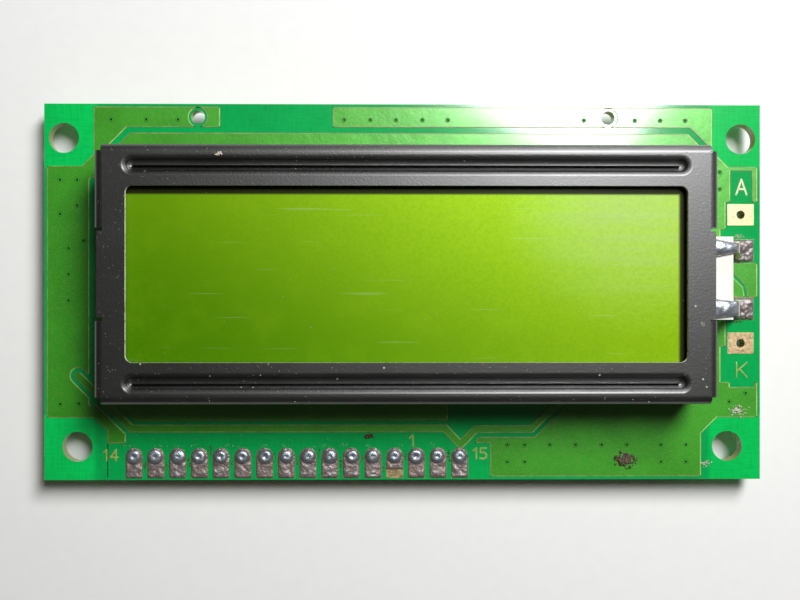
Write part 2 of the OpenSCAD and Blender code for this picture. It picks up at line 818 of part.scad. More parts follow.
module lead(neck_w) {
    intersection() {
        translate([0, lead_w, 0]) rotate([90, 0, 0]) linear_extrude(2 * lead_w) lead_profile();
        translate([0, 0, board_top]) linear_extrude(bezel_h) lead_outline(neck_w);
    }
}

module anode_lead() color("darkgoldenrod") {
    translate([0, anode_y, 0]) lead(anode_neck_w);
}

module cathode_lead() color("darkgoldenrod") {
    translate([0, cathode_y, 0]) lead(cathode_neck_w);
}

// The solder over a lead's foot, and the tinned bulge on its run over the lug
module lead_solder(neck_w) {
    tin_start = taper_x;
    tin_l = lug_end_x + 0.2 - tin_start;
    difference() {
        intersection() {
            translate([lead_pad_x + 0.2, 0, foil_top]) cap(2.1, lead_solder_h);
            translate([lead_pad_x - lead_pad_l / 2 + 0.2, -lead_pad_w / 2 + 0.05, foil_top]) {
                cube([lead_pad_l - 0.25, lead_pad_w - 0.1, lead_solder_h]);
            }
        }
        lead(neck_w);
    }
    intersection() {
        translate([tin_start + tin_l / 2, 0, lead_z + lead_t]) pillow(tin_l, lead_w, tinning_h);
        translate([0, 0, board_top]) linear_extrude(bezel_h) lead_outline(neck_w);
    }
}

module anode_lead_solder() color("silver") {
    translate([0, anode_y, 0]) lead_solder(anode_neck_w);
}

module cathode_lead_solder() color("silver") {
    translate([0, cathode_y, 0]) lead_solder(cathode_neck_w);
}

// ---------------------------------------------------------------- rear side

chip_row_y = 9;
timing_x = 15 - half_l;
timing_y = 3;
side_x = half_l - 16;
capacitor_places = [[-side_x, -4], [side_x, 5], [side_x, 10], [3, -6.5]];
pad_gap = 0.9;

// A straight trace between two points that share an X or a Y
trace_w = 0.35;
module trace(a, b, w = trace_w) {
    low = [min(a.x, b.x) - w / 2, min(a.y, b.y) - w / 2];
    high = [max(a.x, b.x) + w / 2, max(a.y, b.y) + w / 2];
    translate(low) square(high - low);
}

// The two solder pads of a chip that lies along Y
module chip_pads() {
    for (side = [-1, 1]) {
        translate([0, side * (chip_l / 2 + 0.1)]) square([chip_w + 0.2, pad_gap], center = true);
    }
}

module at_bias() {
    for (i = [0 : bias_count - 1]) {
        translate([(i - (bias_count - 1) / 2) * bias_pitch, chip_row_y, 0]) children();
    }
}

module at_capacitors() {
    for (p = capacitor_places) {
        translate([p.x, p.y, 0]) children();
    }
}

// The signal traces from the terminals to the controller
module signal_traces() {
    signals = pin_count - 2;
    step = 0.55;
    target_pitch = 0.8;
    for (i = [0 : signals - 1]) {
        x = first_pin_x + i * pin_pitch;
        end_x = controller_x + (i - (signals - 1) / 2) * target_pitch;
        level = pin_y + 2.2 + step * abs(i - signals / 2);
        trace([x, pin_y + 0.9], [x, level]);
        trace([x, level], [end_x, level]);
        trace([end_x, level], [end_x, -controller_r / 2]);
    }
}

module bottom_traces() {
    feed_w = 1;
    cathode_feed_x = half_l - 5.4;
    anode_feed_x = half_l - 7.2;
    cathode_feed_y = -14.4;
    anode_feed_y = -10.4;
    anode_pin_x = last_pin_x - pin_pitch;
    signal_traces();
    for (i = [-3 : 3]) {
        trace([controller_x, i * 0.9], [driver_x, i * 0.9]);
    }
    // backlight supply, from the last two terminals to the wire holes
    trace([last_pin_x, pin_y + 1], [last_pin_x, cathode_feed_y], feed_w);
    trace([last_pin_x, cathode_feed_y], [cathode_feed_x, cathode_feed_y], feed_w);
    trace([cathode_feed_x, cathode_feed_y], [cathode_feed_x, cathode_wire_y], feed_w);
    trace([cathode_feed_x, cathode_wire_y], [wire_hole_x - 1.3, cathode_wire_y], feed_w);
    trace([anode_pin_x, pin_y + 1], [anode_pin_x, anode_feed_y], feed_w);
    trace([anode_pin_x, anode_feed_y], [anode_feed_x, anode_feed_y], feed_w);
    trace([anode_feed_x, anode_feed_y], [anode_feed_x, anode_wire_y], feed_w);
    trace([anode_feed_x, anode_wire_y], [wire_hole_x - 1.3, anode_wire_y], feed_w);
    // bias row
    trace([-bias_pitch * 2.6, chip_row_y - 3], [driver_x, chip_row_y - 3]);
    at_bias() {
        chip_pads();
        trace([0, -3], [0, -chip_l / 2]);
    }
    // timing resistor and capacitors
    translate([timing_x, timing_y]) chip_pads();
    for (side = [-1, 1]) {
        trace([timing_x, timing_y + side * 1.1], [controller_x, timing_y + side * 1.1]);
    }
    at_capacitors() chip_pads();
    for (p = capacitor_places) {
        trace([p.x, p.y + 1.1], [p.x < 0 ? controller_x : driver_x, p.y + 1.1]);
    }
    // upper rail, clear of the tab slots
    upper_rail_y = bezel_y + bezel_w / 2 + 2.15;
    trace([7.5 - half_l, upper_rail_y], [half_l - 7.5, upper_rail_y], 1.6);
}

module bottom_copper() color("olivedrab") {
    translate([0, 0, stand_h - foil_t]) linear_extrude(foil_t) difference() {
        bottom_traces();
        at_pins() circle(d = ring_d);
        at_wire_holes() circle(d = ring_d);
        at_locating_holes() circle(d = locating_hole_d + 1);
        translate([controller_x, 0]) circle(controller_r);
        translate([driver_x, 0]) circle(driver_r);
    }
}

// The black drop over a die, with the pocket that the die fills
module drop(r) {
    translate([0, 0, stand_h]) mirror([0, 0, 1]) difference() {
        cap(r, drop_h);
        translate([0, 0, -over]) plate(die_w, die_w, die_t + over);
    }
}

module die() {
    translate([0, 0, stand_h - die_t]) plate(die_w, die_w, die_t);
}

module controller_drop() color([0.08, 0.08, 0.08]) {
    translate([controller_x, 0, 0]) drop(controller_r);
}

module controller_die() color("slategray") {
    translate([controller_x, 0, 0]) die();
}

module driver_drop() color([0.08, 0.08, 0.08]) {
    translate([driver_x, 0, 0]) drop(driver_r);
}

module driver_die() color("slategray") {
    translate([driver_x, 0, 0]) die();
}

// The middle of a chip that lies along Y under the board
module chip_body(h) {
    translate([0, 0, stand_h - foil_t - h]) plate(chip_w, chip_l - 2 * chip_cap, h);
}

module chip_caps(h) {
    for (side = [-1, 1]) {
        translate([0, side * (chip_l - chip_cap) / 2, stand_h - foil_t - h]) {
            plate(chip_w, chip_cap, h);
        }
    }
}

module bias_resistors() color([0.1, 0.1, 0.1]) {
    at_bias() chip_body(resistor_h);
}

module bias_resistor_caps() color("silver") {
    at_bias() chip_caps(resistor_h);
}

module timing_resistor() color([0.1, 0.1, 0.1]) {
    translate([timing_x, timing_y, 0]) chip_body(resistor_h);
}

module timing_resistor_caps() color("silver") {
    translate([timing_x, timing_y, 0]) chip_caps(resistor_h);
}

module capacitors() color("peru") {
    at_capacitors() chip_body(capacitor_h);
}

module capacitor_caps() color("silver") {
    at_capacitors() chip_caps(capacitor_h);
}

circuit_board();
top_copper();
bottom_copper();
terminal_pads();
terminal_solder();
wire_hole_pads();
lead_pads();
contact_fingers();
bezel();
front_polarizer();
front_glass();
cell_seal();
rear_glass();
rear_polarizer();
upper_connector_strip();
lower_connector_strip();
diffuser();
backlight_housing();
led_board();
led_drops();
anode_lead();
cathode_lead();
anode_lead_solder();
cathode_lead_solder();
controller_drop();
controller_die();
driver_drop();
driver_die();
bias_resistors();
bias_resistor_caps();
timing_resistor();
timing_resistor_caps();
capacitors();
capacitor_caps();
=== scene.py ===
"""Dresses the character display module: finishes, solder, lettering, dust and small wear."""
import math
import random

import bmesh
import bpy
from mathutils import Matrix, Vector, noise


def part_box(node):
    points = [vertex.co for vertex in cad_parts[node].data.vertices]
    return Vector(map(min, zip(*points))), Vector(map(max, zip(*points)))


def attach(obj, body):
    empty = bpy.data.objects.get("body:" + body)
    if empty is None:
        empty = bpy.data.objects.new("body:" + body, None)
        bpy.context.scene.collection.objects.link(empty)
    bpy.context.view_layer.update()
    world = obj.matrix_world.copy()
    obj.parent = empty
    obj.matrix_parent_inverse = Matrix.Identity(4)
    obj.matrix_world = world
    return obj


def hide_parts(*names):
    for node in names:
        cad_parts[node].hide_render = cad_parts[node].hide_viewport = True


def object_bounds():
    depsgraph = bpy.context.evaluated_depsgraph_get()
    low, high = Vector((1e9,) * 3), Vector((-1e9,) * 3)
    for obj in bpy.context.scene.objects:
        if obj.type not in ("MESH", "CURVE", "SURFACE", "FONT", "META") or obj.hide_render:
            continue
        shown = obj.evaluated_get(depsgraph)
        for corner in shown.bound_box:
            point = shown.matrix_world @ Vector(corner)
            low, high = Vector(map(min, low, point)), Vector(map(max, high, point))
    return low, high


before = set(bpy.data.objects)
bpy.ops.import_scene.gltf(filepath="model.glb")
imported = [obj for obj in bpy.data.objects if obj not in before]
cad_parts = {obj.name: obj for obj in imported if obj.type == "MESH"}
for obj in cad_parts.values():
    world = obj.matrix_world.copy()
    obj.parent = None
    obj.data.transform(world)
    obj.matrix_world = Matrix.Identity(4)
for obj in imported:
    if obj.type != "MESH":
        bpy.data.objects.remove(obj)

bl_info = {
    "name": "Character display module",
    "version": (1, 0, 0),
    "blender": (4, 5, 0),
    "location": "3D View > Sidebar > Display Module",
    "description": "Dresses a character display module with its finishes, solder and small marks",
    "category": "Object",
}

MM = 0.001
CAD_LOW, CAD_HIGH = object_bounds()
BODY = "root"

# Places that the pieces below are worked out from, in metres.
BOARD_LOW, BOARD_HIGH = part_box("circuit_board")
FOIL_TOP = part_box("top_copper")[1].z
BEZEL_LOW, BEZEL_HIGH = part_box("bezel")
FILM_LOW, FILM_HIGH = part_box("front_polarizer")
PADS_LOW, PADS_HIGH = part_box("terminal_pads")
BEZEL_MIDDLE_Y = (BEZEL_LOW.y + BEZEL_HIGH.y) / 2
LUG_END_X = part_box("backlight_housing")[1].x
# The films reach this far under the bezel past its window.
FILM_REACH = 0.6 * MM
WINDOW = (FILM_HIGH - FILM_LOW) / 2 - Vector((FILM_REACH, FILM_REACH, 0))

# Distance of each pressed bead from the bezel's middle, and how near to it no dust lies.
BEAD_Y = 11.9 * MM
BEAD_CLEAR = 1.3 * MM
LEAD_PAD_WIDTH = 2.6 * MM

# Solder starts this far below the copper's top.
SEAT = 0.01 * MM
# Points nearer than this are one point, and flat lines on the board sink in by as much.
WELD = 0.002 * MM
# A lump of solder keeps this share of its pad's width.
PAD_SHARE = 0.985
# The line of thin mask along the copper's edge.
EDGE_LINE_WIDTH, EDGE_LINE_HEIGHT = 0.1 * MM, 0.006 * MM
# Marks stand this high over the mask, and each bar of one is a step lower than the last.
MARK_HEIGHT, BAR_STEP = 0.05 * MM, 0.003 * MM

TERMINALS = 16
TERMINAL_PITCH = 2.54 * MM
# The solder of this one, counted from 0 at the left, stops short of its pad's end.
BARE_ENDED_TERMINAL, BARE_END = 12, 1.0 * MM
TERMINAL_WIDTH = PADS_HIGH.x - PADS_LOW.x - (TERMINALS - 1) * TERMINAL_PITCH
FIRST_TERMINAL_X = PADS_LOW.x + TERMINAL_WIDTH / 2


def paint(red, green, blue):
    """A colour written in the 0 to 255 values of a paint chart, as linear light."""
    def linear(level):
        level /= 255
        return level / 12.92 if level <= 0.04045 else ((level + 0.055) / 1.055) ** 2.4
    return linear(red), linear(green), linear(blue)


def opaque(colour):
    """A colour with the fourth value that a node's colour socket wants."""
    return (*colour[:3], 1.0)


def shaded(colour, share):
    """A colour made darker, or lighter where the share is over 1."""
    return [share * level for level in colour]


# Finishes ----------------------------------------------------

class Finish:
    """One node material, built up step by step. Its methods hand back output sockets."""

    def __init__(self, name, **shader_values):
        self.material = bpy.data.materials.new(name)
        self.material.use_nodes = True
        self.tree = self.material.node_tree
        self.shader = self.tree.nodes["Principled BSDF"]
        self.point = self.node("TexCoord").outputs["Object"]
        self.spread = self.node("SeparateXYZ", {"Vector": self.point}).outputs
        self.facing = self.node(
            "SeparateXYZ", {"Vector": self.node("NewGeometry").outputs["Normal"]}).outputs["Z"]
        self.shade(**shader_values)

    def node(self, kind, inputs=None, **settings):
        made = self.tree.nodes.new("ShaderNode" + kind)
        for key, value in settings.items():
            setattr(made, key, value)
        for key, value in (inputs or {}).items():
            self.feed(made.inputs[key], value)
        return made

    def feed(self, socket, value):
        if isinstance(value, bpy.types.NodeSocket):
            self.tree.links.new(value, socket)
        elif socket.type == "RGBA":
            socket.default_value = opaque(value)
        else:
            socket.default_value = value

    def shade(self, **values):
        """Sets or links the shader's own sockets, named with underscores."""
        for key, value in values.items():
            self.feed(self.shader.inputs[key.replace("_", " ")], value)

    def grain(self, size, detail=3.0, rough=0.5, stretch=(1, 1, 1), shift=0.0):
        """Cloudy noise whose patches are about as wide as size, in millimetres."""
        place = self.node("Mapping", {"Vector": self.point, "Scale": stretch,
                                      "Location": (shift, shift, 0)}).outputs["Vector"]
        return self.node("TexNoise", {"Vector": place, "Scale": 1 / (size * MM), "Detail": detail,
                                      "Roughness": rough}).outputs["Fac"]

    def cells(self, size, output="Distance"):
        """Distances or colours of scattered cells about as wide as size, in millimetres."""
        return self.node("TexVoronoi", {"Vector": self.point,
                                        "Scale": 1 / (size * MM)}).outputs[output]

    def step(self, value, low, high, start=0.0, end=1.0):
        """Runs smoothly from start to end as the value goes from low to high."""
        return self.node("MapRange", {"Value": value, "From Min": low, "From Max": high,
                                      "To Min": start, "To Max": end},
                         interpolation_type="SMOOTHSTEP").outputs["Result"]

    def calc(self, kind, first, second=0.5, third=0.5):
        """One step of arithmetic on values."""
        made = self.node("Math", operation=kind)
        for socket, value in zip(made.inputs, (first, second, third)):
            self.feed(socket, value)
        return made.outputs[0]

    def times(self, first, second):
        return self.calc("MULTIPLY", first, second)

    def blend(self, factor, first, second):
        """A colour between two."""
        made = self.node("Mix", data_type="RGBA")
        for name, value in (("Factor_Float", factor), ("A_Color", first), ("B_Color", second)):
            socket = next(s for s in made.inputs if s.identifier == name)
            self.feed(socket, value)
        return next(s for s in made.outputs if s.identifier == "Result_Color")

    def speckle(self, size, amount):
        """Scattered specks: 1 in the middle of the chosen cells, 0 elsewhere."""
        chosen = self.step(self.cells(size, "Color"), 1 - amount, 1 - amount + 0.02)
        outer, inner = 0.3, 0.22
        return self.times(self.step(self.cells(size), outer, inner), chosen)

    def beyond(self, axis, start, end):
        """0 in the middle of the board and 1 past the end distance along one axis."""
        return self.step(self.calc("ABSOLUTE", self.spread[axis]), start, end)

    def near(self, x, y, radius, softness):
        """1 within a radius of a place on the board and 0 beyond it."""
        gap = self.node("VectorMath", {"Vector": self.point, 1: (x, y, 0)}, operation="SUBTRACT")
        flat = self.node("VectorMath", {"Vector": gap.outputs[0], 1: (1, 1, 0)},
                         operation="MULTIPLY")
        reach = self.node("VectorMath", {"Vector": flat.outputs[0]}, operation="LENGTH")
        return self.step(reach.outputs["Value"], radius + softness, radius - softness)

    def relief(self, *layers):
        """Bump made of (height, depth in metres) layers, one on another."""
        normal = None
        for height, depth in layers:
            made = self.node("Bump", {"Height": height, "Distance": depth, "Strength": 1.0})
            if normal:
                self.feed(made.inputs["Normal"], normal)
            normal = made.outputs["Normal"]
        self.feed(self.shader.inputs["Normal"], normal)
        return self


def wear(obj, finish):
    """Puts one finish on an object."""
    obj.data.materials.clear()
    obj.data.materials.append(finish.material)


def dress(finish, *nodes):
    """Puts one finish on carried-over nodes of the construction."""
    for name in nodes:
        wear(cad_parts[name], finish)


def dress_plainly(name, light, dark, patch, *nodes, **values):
    """Puts a plain finish on nodes, its colours as in paint."""
    dress(plain_finish(name, paint(*light), paint(*dark), patch, **values), *nodes)


def mask_finish(look):
    """Solder mask straight on the laminate, with the bare laminate on sawn and drilled walls."""
    mask = Finish("mask on laminate", Roughness=0.4, Specular_IOR_Level=0.05, Coat_Weight=1.0,
                  Coat_Roughness=0.1, Coat_IOR=1.7)
    weave = mask.times(mask.grain(0.25, 1.0, stretch=(1, 0.12, 1)),
                       mask.grain(0.25, 1.0, stretch=(0.12, 1, 1)))
    tone = mask.blend(mask.step(mask.grain(9), 0.3, 0.7),
                      shaded(look.mask_colour, 0.86), look.mask_colour)
    tone = mask.blend(mask.step(weave, 0.15, 0.45, 0.0, 0.3), tone, paint(6, 140, 56))
    tone = mask.blend(mask.times(mask.speckle(0.3, 0.06), 0.35), tone,
                      paint(150, 214, 160))
    # all the mask but the board's four corners is blended part way to a darker tone
    corner = mask.times(mask.beyond("X", 35.5 * MM, 36.5 * MM),
                        mask.beyond("Y", 14 * MM, 14.8 * MM))
    tone = mask.blend(corner, mask.blend(0.42, tone, look.deep_colour), tone)
    walls = mask.step(mask.facing, 0.5, 0.7)
    underside = mask.step(mask.facing, -0.5, -0.7)
    glass = mask.blend(mask.grain(0.15, stretch=(0.3, 0.3, 3)), look.laminate_colour,
                       paint(160, 165, 95))
    tone = mask.blend(mask.calc("MAXIMUM", walls, underside), glass, tone)
    mask.shade(Base_Color=tone)
    return mask.relief((weave, 0.02 * MM), (mask.grain(1.5), 0.035 * MM))


def covered_copper_finish(look):
    """Copper under solder mask: olive, with a lighter line where the mask thins at an edge, partly
    a painted highlight.
    """
    foil = Finish("mask on copper", Roughness=0.36, Metallic=0.2, Coat_Weight=1.0,
                  Coat_Roughness=0.12, Coat_IOR=1.6)
    tone = foil.blend(foil.step(foil.grain(6), 0.3, 0.7),
                      shaded(look.covered_colour, 0.8), look.covered_colour)
    tone = foil.blend(foil.step(foil.grain(0.16), 0.48, 0.7, 0, 0.4), tone,
                      paint(120, 175, 70))
    tone = foil.blend(foil.times(foil.speckle(0.28, 0.07), 0.45), tone,
                      paint(24, 78, 12))
    # the foil's sloped and side faces: thin mask, its light colour partly a painted highlight
    rim = foil.step(foil.calc("ABSOLUTE", foil.facing), 0.97, 0.75)
    foil.shade(Base_Color=foil.blend(rim, tone, look.edge_colour))
    return foil.relief((foil.grain(0.3), 0.012 * MM), (foil.grain(2.2), 0.04 * MM))


def gold_finish(name, colour):
    """Thin gold over nickel, brushed by handling."""
    gold = Finish(name, Metallic=1.0)
    stain = gold.step(gold.grain(0.5, 5.0, 0.65), 0.5, 0.72)
    gold.shade(Base_Color=gold.blend(stain, colour, shaded(colour, 0.55)),
               Roughness=gold.step(gold.grain(0.2), 0.3, 0.7, 0.28, 0.5))
    return gold.relief((gold.grain(0.12, 4.0), 0.008 * MM))


def bezel_finish(look):
    """Baked black paint on sheet steel, dusty, with bare steel at the window's cut edge, lightened
    as a painted highlight.
    """
    black = Finish("baked black paint", Coat_Weight=look.gloss, Coat_Roughness=0.33,
                   Coat_IOR=1.7, IOR=1.5)
    peel = black.grain(0.26, 3.0, 0.6)
    broad = black.grain(4)
    smear = black.grain(1.2, 4.0, 0.65, stretch=(0.35, 1, 1))
    dust = black.speckle(0.42, look.dust)
    fine = black.speckle(0.18, look.dust * 1.6)
    tone = black.blend(black.step(smear, 0.45, 0.75, 0, 0.5), look.paint_colour,
                       shaded(look.paint_colour, 2.6))
    lint = black.calc("MAXIMUM", dust, black.times(fine, 0.6))
    lint = black.times(lint, black.step(black.facing, 0.2, 0.8))
    tone = black.blend(lint, tone, paint(190, 188, 180))
    sides = [black.calc("ABSOLUTE", black.calc("SUBTRACT", black.spread[axis], middle))
             for axis, middle in (("X", 0.0), ("Y", BEZEL_MIDDLE_Y))]
    inside = black.times(*(black.step(side, half + 0.15 * MM, half + 0.1 * MM)
                           for side, half in zip(sides, WINDOW)))
    upright = black.step(black.calc("ABSOLUTE", black.facing), 0.5, 0.3)
    # bare steel at the window's cut edge; its pale colour is partly a painted highlight
    cut = black.times(inside, upright)
    worn = black.step(black.grain(0.5, 4.0, 0.6), 0.3, 0.5)
    tone = black.blend(black.times(cut, worn), tone, look.steel_colour)
    black.shade(Base_Color=tone,
                Roughness=black.step(broad, 0.3, 0.7, 0.37, 0.42))
    return black.relief((black.spread["Z"], -look.ease), (peel, 0.028 * MM),
                        (lint, 0.02 * MM))


def display_film_finish(look):
    """The yellow-green front film over the cell: satin, streaked, faintly scratched, with a painted
    light gradient, a painted glare haze and a painted lip shadow.
    """
    film = Finish("front film", Metallic=look.sheen, Specular_IOR_Level=0.05,
                  Coat_Weight=0.1, Coat_Roughness=0.26)
    size = FILM_HIGH - FILM_LOW
    # painted light: the film's colour runs from a painted shade colour at the bottom left to a
    # painted lit colour at the top right, as the lamp's light falls
    across = film.calc("MULTIPLY_ADD", film.spread["X"], 1 / size.x, 0.5)
    up = film.calc("MULTIPLY_ADD", film.spread["Y"], 1 / size.y, -FILM_LOW.y / size.y)
    painted_lamp_gradient = film.calc("ADD", film.times(across, 0.62), film.times(up, 0.38))
    grain = film.grain(0.32, 3.0, 0.6)
    blot = film.grain(3.5, 4.0, 0.6)
    tone = film.blend(film.step(painted_lamp_gradient, 0.0, 0.95), look.dim_colour, look.lit_colour)
    tone = film.blend(film.step(grain, 0.35, 0.7, 0.0, 0.28), tone, look.grain_colour)
    tone = film.blend(film.step(blot, 0.45, 0.75, 0.0, 0.12), tone, look.lit_colour)
    wiped = film.grain(1.1, 4.0, 0.7, stretch=(0.05, 1, 1))
    hair = film.grain(0.5, 2.0, 0.5, stretch=(0.03, 1, 1), shift=3.0)
    # painted glare: a pale haze painted on the streaks near the top right, where the lamp's
    # reflection falls; the scratches are real marks
    smear = film.near(25 * MM, 10 * MM, 8 * MM, 8 * MM)
    painted_glare_haze = film.times(film.step(wiped, 0.3, 0.7, 0.45, 1.0), smear)
    scratch = film.times(film.step(hair, 0.68, 0.72), 0.35)
    marks = film.calc("MAXIMUM", painted_glare_haze, scratch)
    tone = film.blend(film.times(marks, 0.25), tone, paint(214, 232, 190))
    # painted shadow: a dark band along the window's top and right edges stands for the bezel lip's
    # shadow
    from_middle = film.calc("SUBTRACT", film.spread["Y"], BEZEL_MIDDLE_Y)
    rim = film.calc("MAXIMUM", film.step(from_middle, WINDOW.y - 1.0 * MM, WINDOW.y - 0.7 * MM),
                    film.step(film.spread["X"], WINDOW.x - 0.85 * MM, WINDOW.x - 0.45 * MM))
    tone = film.blend(rim, tone, look.border_colour)
    film.shade(Base_Color=tone, Roughness=film.step(marks, 0.0, 1.0, 0.5, 0.62))
    return film.relief((grain, 0.004 * MM), (marks, 0.004 * MM))


def glass_finish():
    """The cell's glass, seen only at its edges."""
    glass = Finish("cell glass", Roughness=0.08, IOR=1.52, Transmission_Weight=0.6)
    tint = glass.grain(2)
    glass.shade(Base_Color=glass.blend(tint, paint(176, 205, 180), paint(140, 180, 150)))
    return glass.relief((glass.grain(0.6), 0.004 * MM))


def plain_finish(name, light, dark, patch, rough=(0.4, 0.6), depth=0.01 * MM, **values):
    """A plain surface: two close tones in patches, in millimetres, uneven gloss and texture."""
    made = Finish(name, **values)
    cloud = made.grain(patch, 4.0, 0.6)
    made.shade(Base_Color=made.blend(made.step(cloud, 0.3, 0.7), dark, light),
               Roughness=made.step(made.grain(patch * 0.5), 0.3, 0.7, *rough))
    return made.relief((made.grain(patch * 0.15, 2.0), depth))


def solder_finish(look, soil=1.0, name="solder", dull=0.0, warm=0.0):
    """Dull tin and lead with a brown film of burnt flux low down in its hollows.

    soil is the film's strength, dull is added roughness and warm is a brown cast all over.
    """
    tin = Finish(name, Metallic=0.75)
    height = tin.step(tin.spread["Z"], FOIL_TOP, FOIL_TOP + 0.35 * MM)
    crust = tin.grain(0.22, 5.0, 0.7)
    burnt = tin.times(tin.step(crust, 0.42, 0.62), tin.calc("SUBTRACT", 1.0, height))
    rim = tin.step(tin.facing, 0.35, 0.0)
    tone = tin.blend(tin.step(tin.grain(0.5), 0.3, 0.7), look.tin_colour,
                     shaded(look.tin_colour, 0.72))
    tone = tin.blend(warm, tone, look.soiled_colour)
    low = tin.times(tin.calc("SUBTRACT", 1.0, height), 0.8 * soil)
    tone = tin.blend(low, tone, look.soiled_colour)
    tone = tin.blend(tin.times(burnt, 0.8 * soil), tone, look.flux_colour)
    tone = tin.blend(tin.times(rim, 0.55 * soil), tone, look.flux_colour)
    tin.shade(Base_Color=tone,
              Roughness=tin.calc("ADD", tin.step(height, 0.2, 1.0, 0.47 + dull, 0.33 + dull),
                                 tin.times(burnt, 0.25)))
    return tin.relief((crust, 0.035 * MM), (tin.grain(0.08), 0.02 * MM))


def lead_finish():
    """Tinned brass: bright tin on the flat, brass showing at the sheared edges."""
    tin = Finish("tinned brass", Metallic=0.8)
    edge = tin.step(tin.facing, 0.75, 0.35)
    rubbed = tin.times(edge, tin.step(tin.grain(0.4, 4.0), 0.3, 0.6))
    tone = tin.blend(tin.grain(0.5), paint(214, 212, 208), paint(178, 174, 168))
    tin.shade(Base_Color=tin.blend(rubbed, tone, paint(226, 184, 116)),
              Roughness=tin.step(tin.grain(0.3, 4.0), 0.3, 0.7, 0.16, 0.34))
    return tin.relief((tin.grain(0.25), 0.012 * MM))


def via_finish(look):
    """Mask drawn thin over a via's ring, with a dark dimple where its hole is filled."""
    ring = Finish("mask on a via", Roughness=0.5, Specular_IOR_Level=0.2, Coat_Weight=0.15,
                  Coat_Roughness=0.3)
    over = ring.calc("SUBTRACT", ring.spread["Z"], FOIL_TOP)
    under = ring.calc("SUBTRACT", BOARD_LOW.z, ring.spread["Z"])
    rise = ring.calc("MAXIMUM", over, under)
    ring.shade(Base_Color=ring.blend(ring.step(rise, 0.008 * MM, 0.02 * MM), paint(3, 30, 16),
                                     look.covered_colour))
    return ring.relief((ring.grain(0.2), 0.004 * MM))


# Meshes ------------------------------------------------------

def linked(name, data):
    """A new object in the scene."""
    obj = bpy.data.objects.new(name, data)
    bpy.context.scene.collection.objects.link(obj)
    return obj


def keep(name, mesh, finish, slot, *replaced, smooth=True):
    """Makes a piece from a bmesh, finishes it and lets it ride on the module."""
    data = bpy.data.meshes.new(name)
    bmesh.ops.recalc_face_normals(mesh, faces=mesh.faces)
    mesh.to_mesh(data)
    mesh.free()
    for face in data.polygons:
        face.use_smooth = smooth
    piece = linked(name, data)
    wear(piece, finish)
    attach(piece, BODY)
    if replaced:
        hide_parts(*replaced)
    return piece


def field(mesh, rows, floor):
    """Closes a grid of points, given row by row, down to a flat underside at floor."""
    top = [[mesh.verts.new(point) for point in row] for row in rows]
    low = [[mesh.verts.new((point[0], point[1], floor)) for point in row] for row in rows]
    for grid in (top, low):
        for near, far in zip(grid, grid[1:]):
            for i in range(len(near) - 1):
                mesh.faces.new((near[i], near[i + 1], far[i + 1], far[i]))
    ring = ([(0, i) for i in range(len(rows[0]))]
            + [(r, len(rows[0]) - 1) for r in range(1, len(rows))]
            + [(len(rows) - 1, i) for i in range(len(rows[0]) - 2, -1, -1)]
            + [(r, 0) for r in range(len(rows) - 2, 0, -1)])
    for (r, i), (s, j) in zip(ring, ring[1:] + ring[:1]):
        mesh.faces.new((top[r][i], low[r][i], low[s][j], top[s][j]))
    bmesh.ops.remove_doubles(mesh, verts=[v for grid in (top, low) for row in grid for v in row],
                             dist=WELD)


def slab(mesh, lower, upper, low, high):
    """Closes two outlines of (x, y) points, at two heights, to a slab."""
    bottom, top = ([mesh.verts.new((x, y, z)) for x, y in outline]
                   for outline, z in ((lower, low), (upper, high)))
    mesh.faces.new(bottom)
    mesh.faces.new(top)
    for i in range(len(bottom)):
        j = (i + 1) % len(bottom)
        mesh.faces.new((bottom[i], bottom[j], top[j], top[i]))


def stroke(mesh, start, end, width, low, high):
    """A flat rounded bar from one point to another."""
    turn = 8
    inner = 0.82
    start, end = Vector(start), Vector(end)
    along = math.atan2(end.y - start.y, end.x - start.x)
    outline = []
    for centre, begin in ((end, along - math.pi / 2), (start, along + math.pi / 2)):
        for i in range(turn + 1):
            angle = begin + math.pi * i / turn
            outline.append((centre.x + math.cos(angle) * width / 2,
                            centre.y + math.sin(angle) * width / 2))
    middle = (start + end) / 2
    slab(mesh, outline, [(middle.x + (x - middle.x) * inner, middle.y + (y - middle.y) * inner)
                         for x, y in outline], low, high)


def foil_rim(node, level):
    """The upper edges of a foil's sawn side, each with the way that leads into the foil."""
    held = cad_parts[node]
    place = held.matrix_world
    edges = {}
    for face in held.data.polygons:
        normal = (place.to_3x3() @ face.normal).normalized()
        corners = [place @ held.data.vertices[i].co for i in face.vertices]
        for a, b in zip(corners, corners[1:] + corners[:1]):
            if abs(a.z - level) < 0.003 * MM and abs(b.z - level) < 0.003 * MM:
                ends = frozenset((round(end.x / MM, 3), round(end.y / MM, 3)) for end in (a, b))
                edges.setdefault(ends, (a, b, []))[2].append(normal)
    for a, b, normals in edges.values():
        sides = [normal for normal in normals if abs(normal.z) < 0.1]
        if len(sides) == 1 and len(normals) > 1:
            yield a, b, -sides[0]


def ribbon(mesh, start, end, inward, width, low, high):
    """A flat closed strip beside one edge."""
    if (end - start).length < WELD:
        return
    corners = (start, end, end + inward * width, start + inward * width)
    outline = [(corner.x, corner.y) for corner in corners]
    slab(mesh, outline, outline, low, high)


def turned(mesh, centre, profile, sides):
    """A closed turned shape from (radius, height) points that begin and end on its axis."""
    rings = []
    for radius, height in profile:
        if radius == 0:
            rings.append([mesh.verts.new((centre[0], centre[1], height))])
            continue
        rings.append([mesh.verts.new((centre[0] + radius * math.cos(math.tau * i / sides),
                                      centre[1] + radius * math.sin(math.tau * i / sides),
                                      height)) for i in range(sides)])
    for low, high in zip(rings, rings[1:]):
        for i in range(sides):
            corners = [low[i % len(low)], low[(i + 1) % len(low)],
                       high[(i + 1) % len(high)], high[i % len(high)]]
            mesh.faces.new(list(dict.fromkeys(corners)))


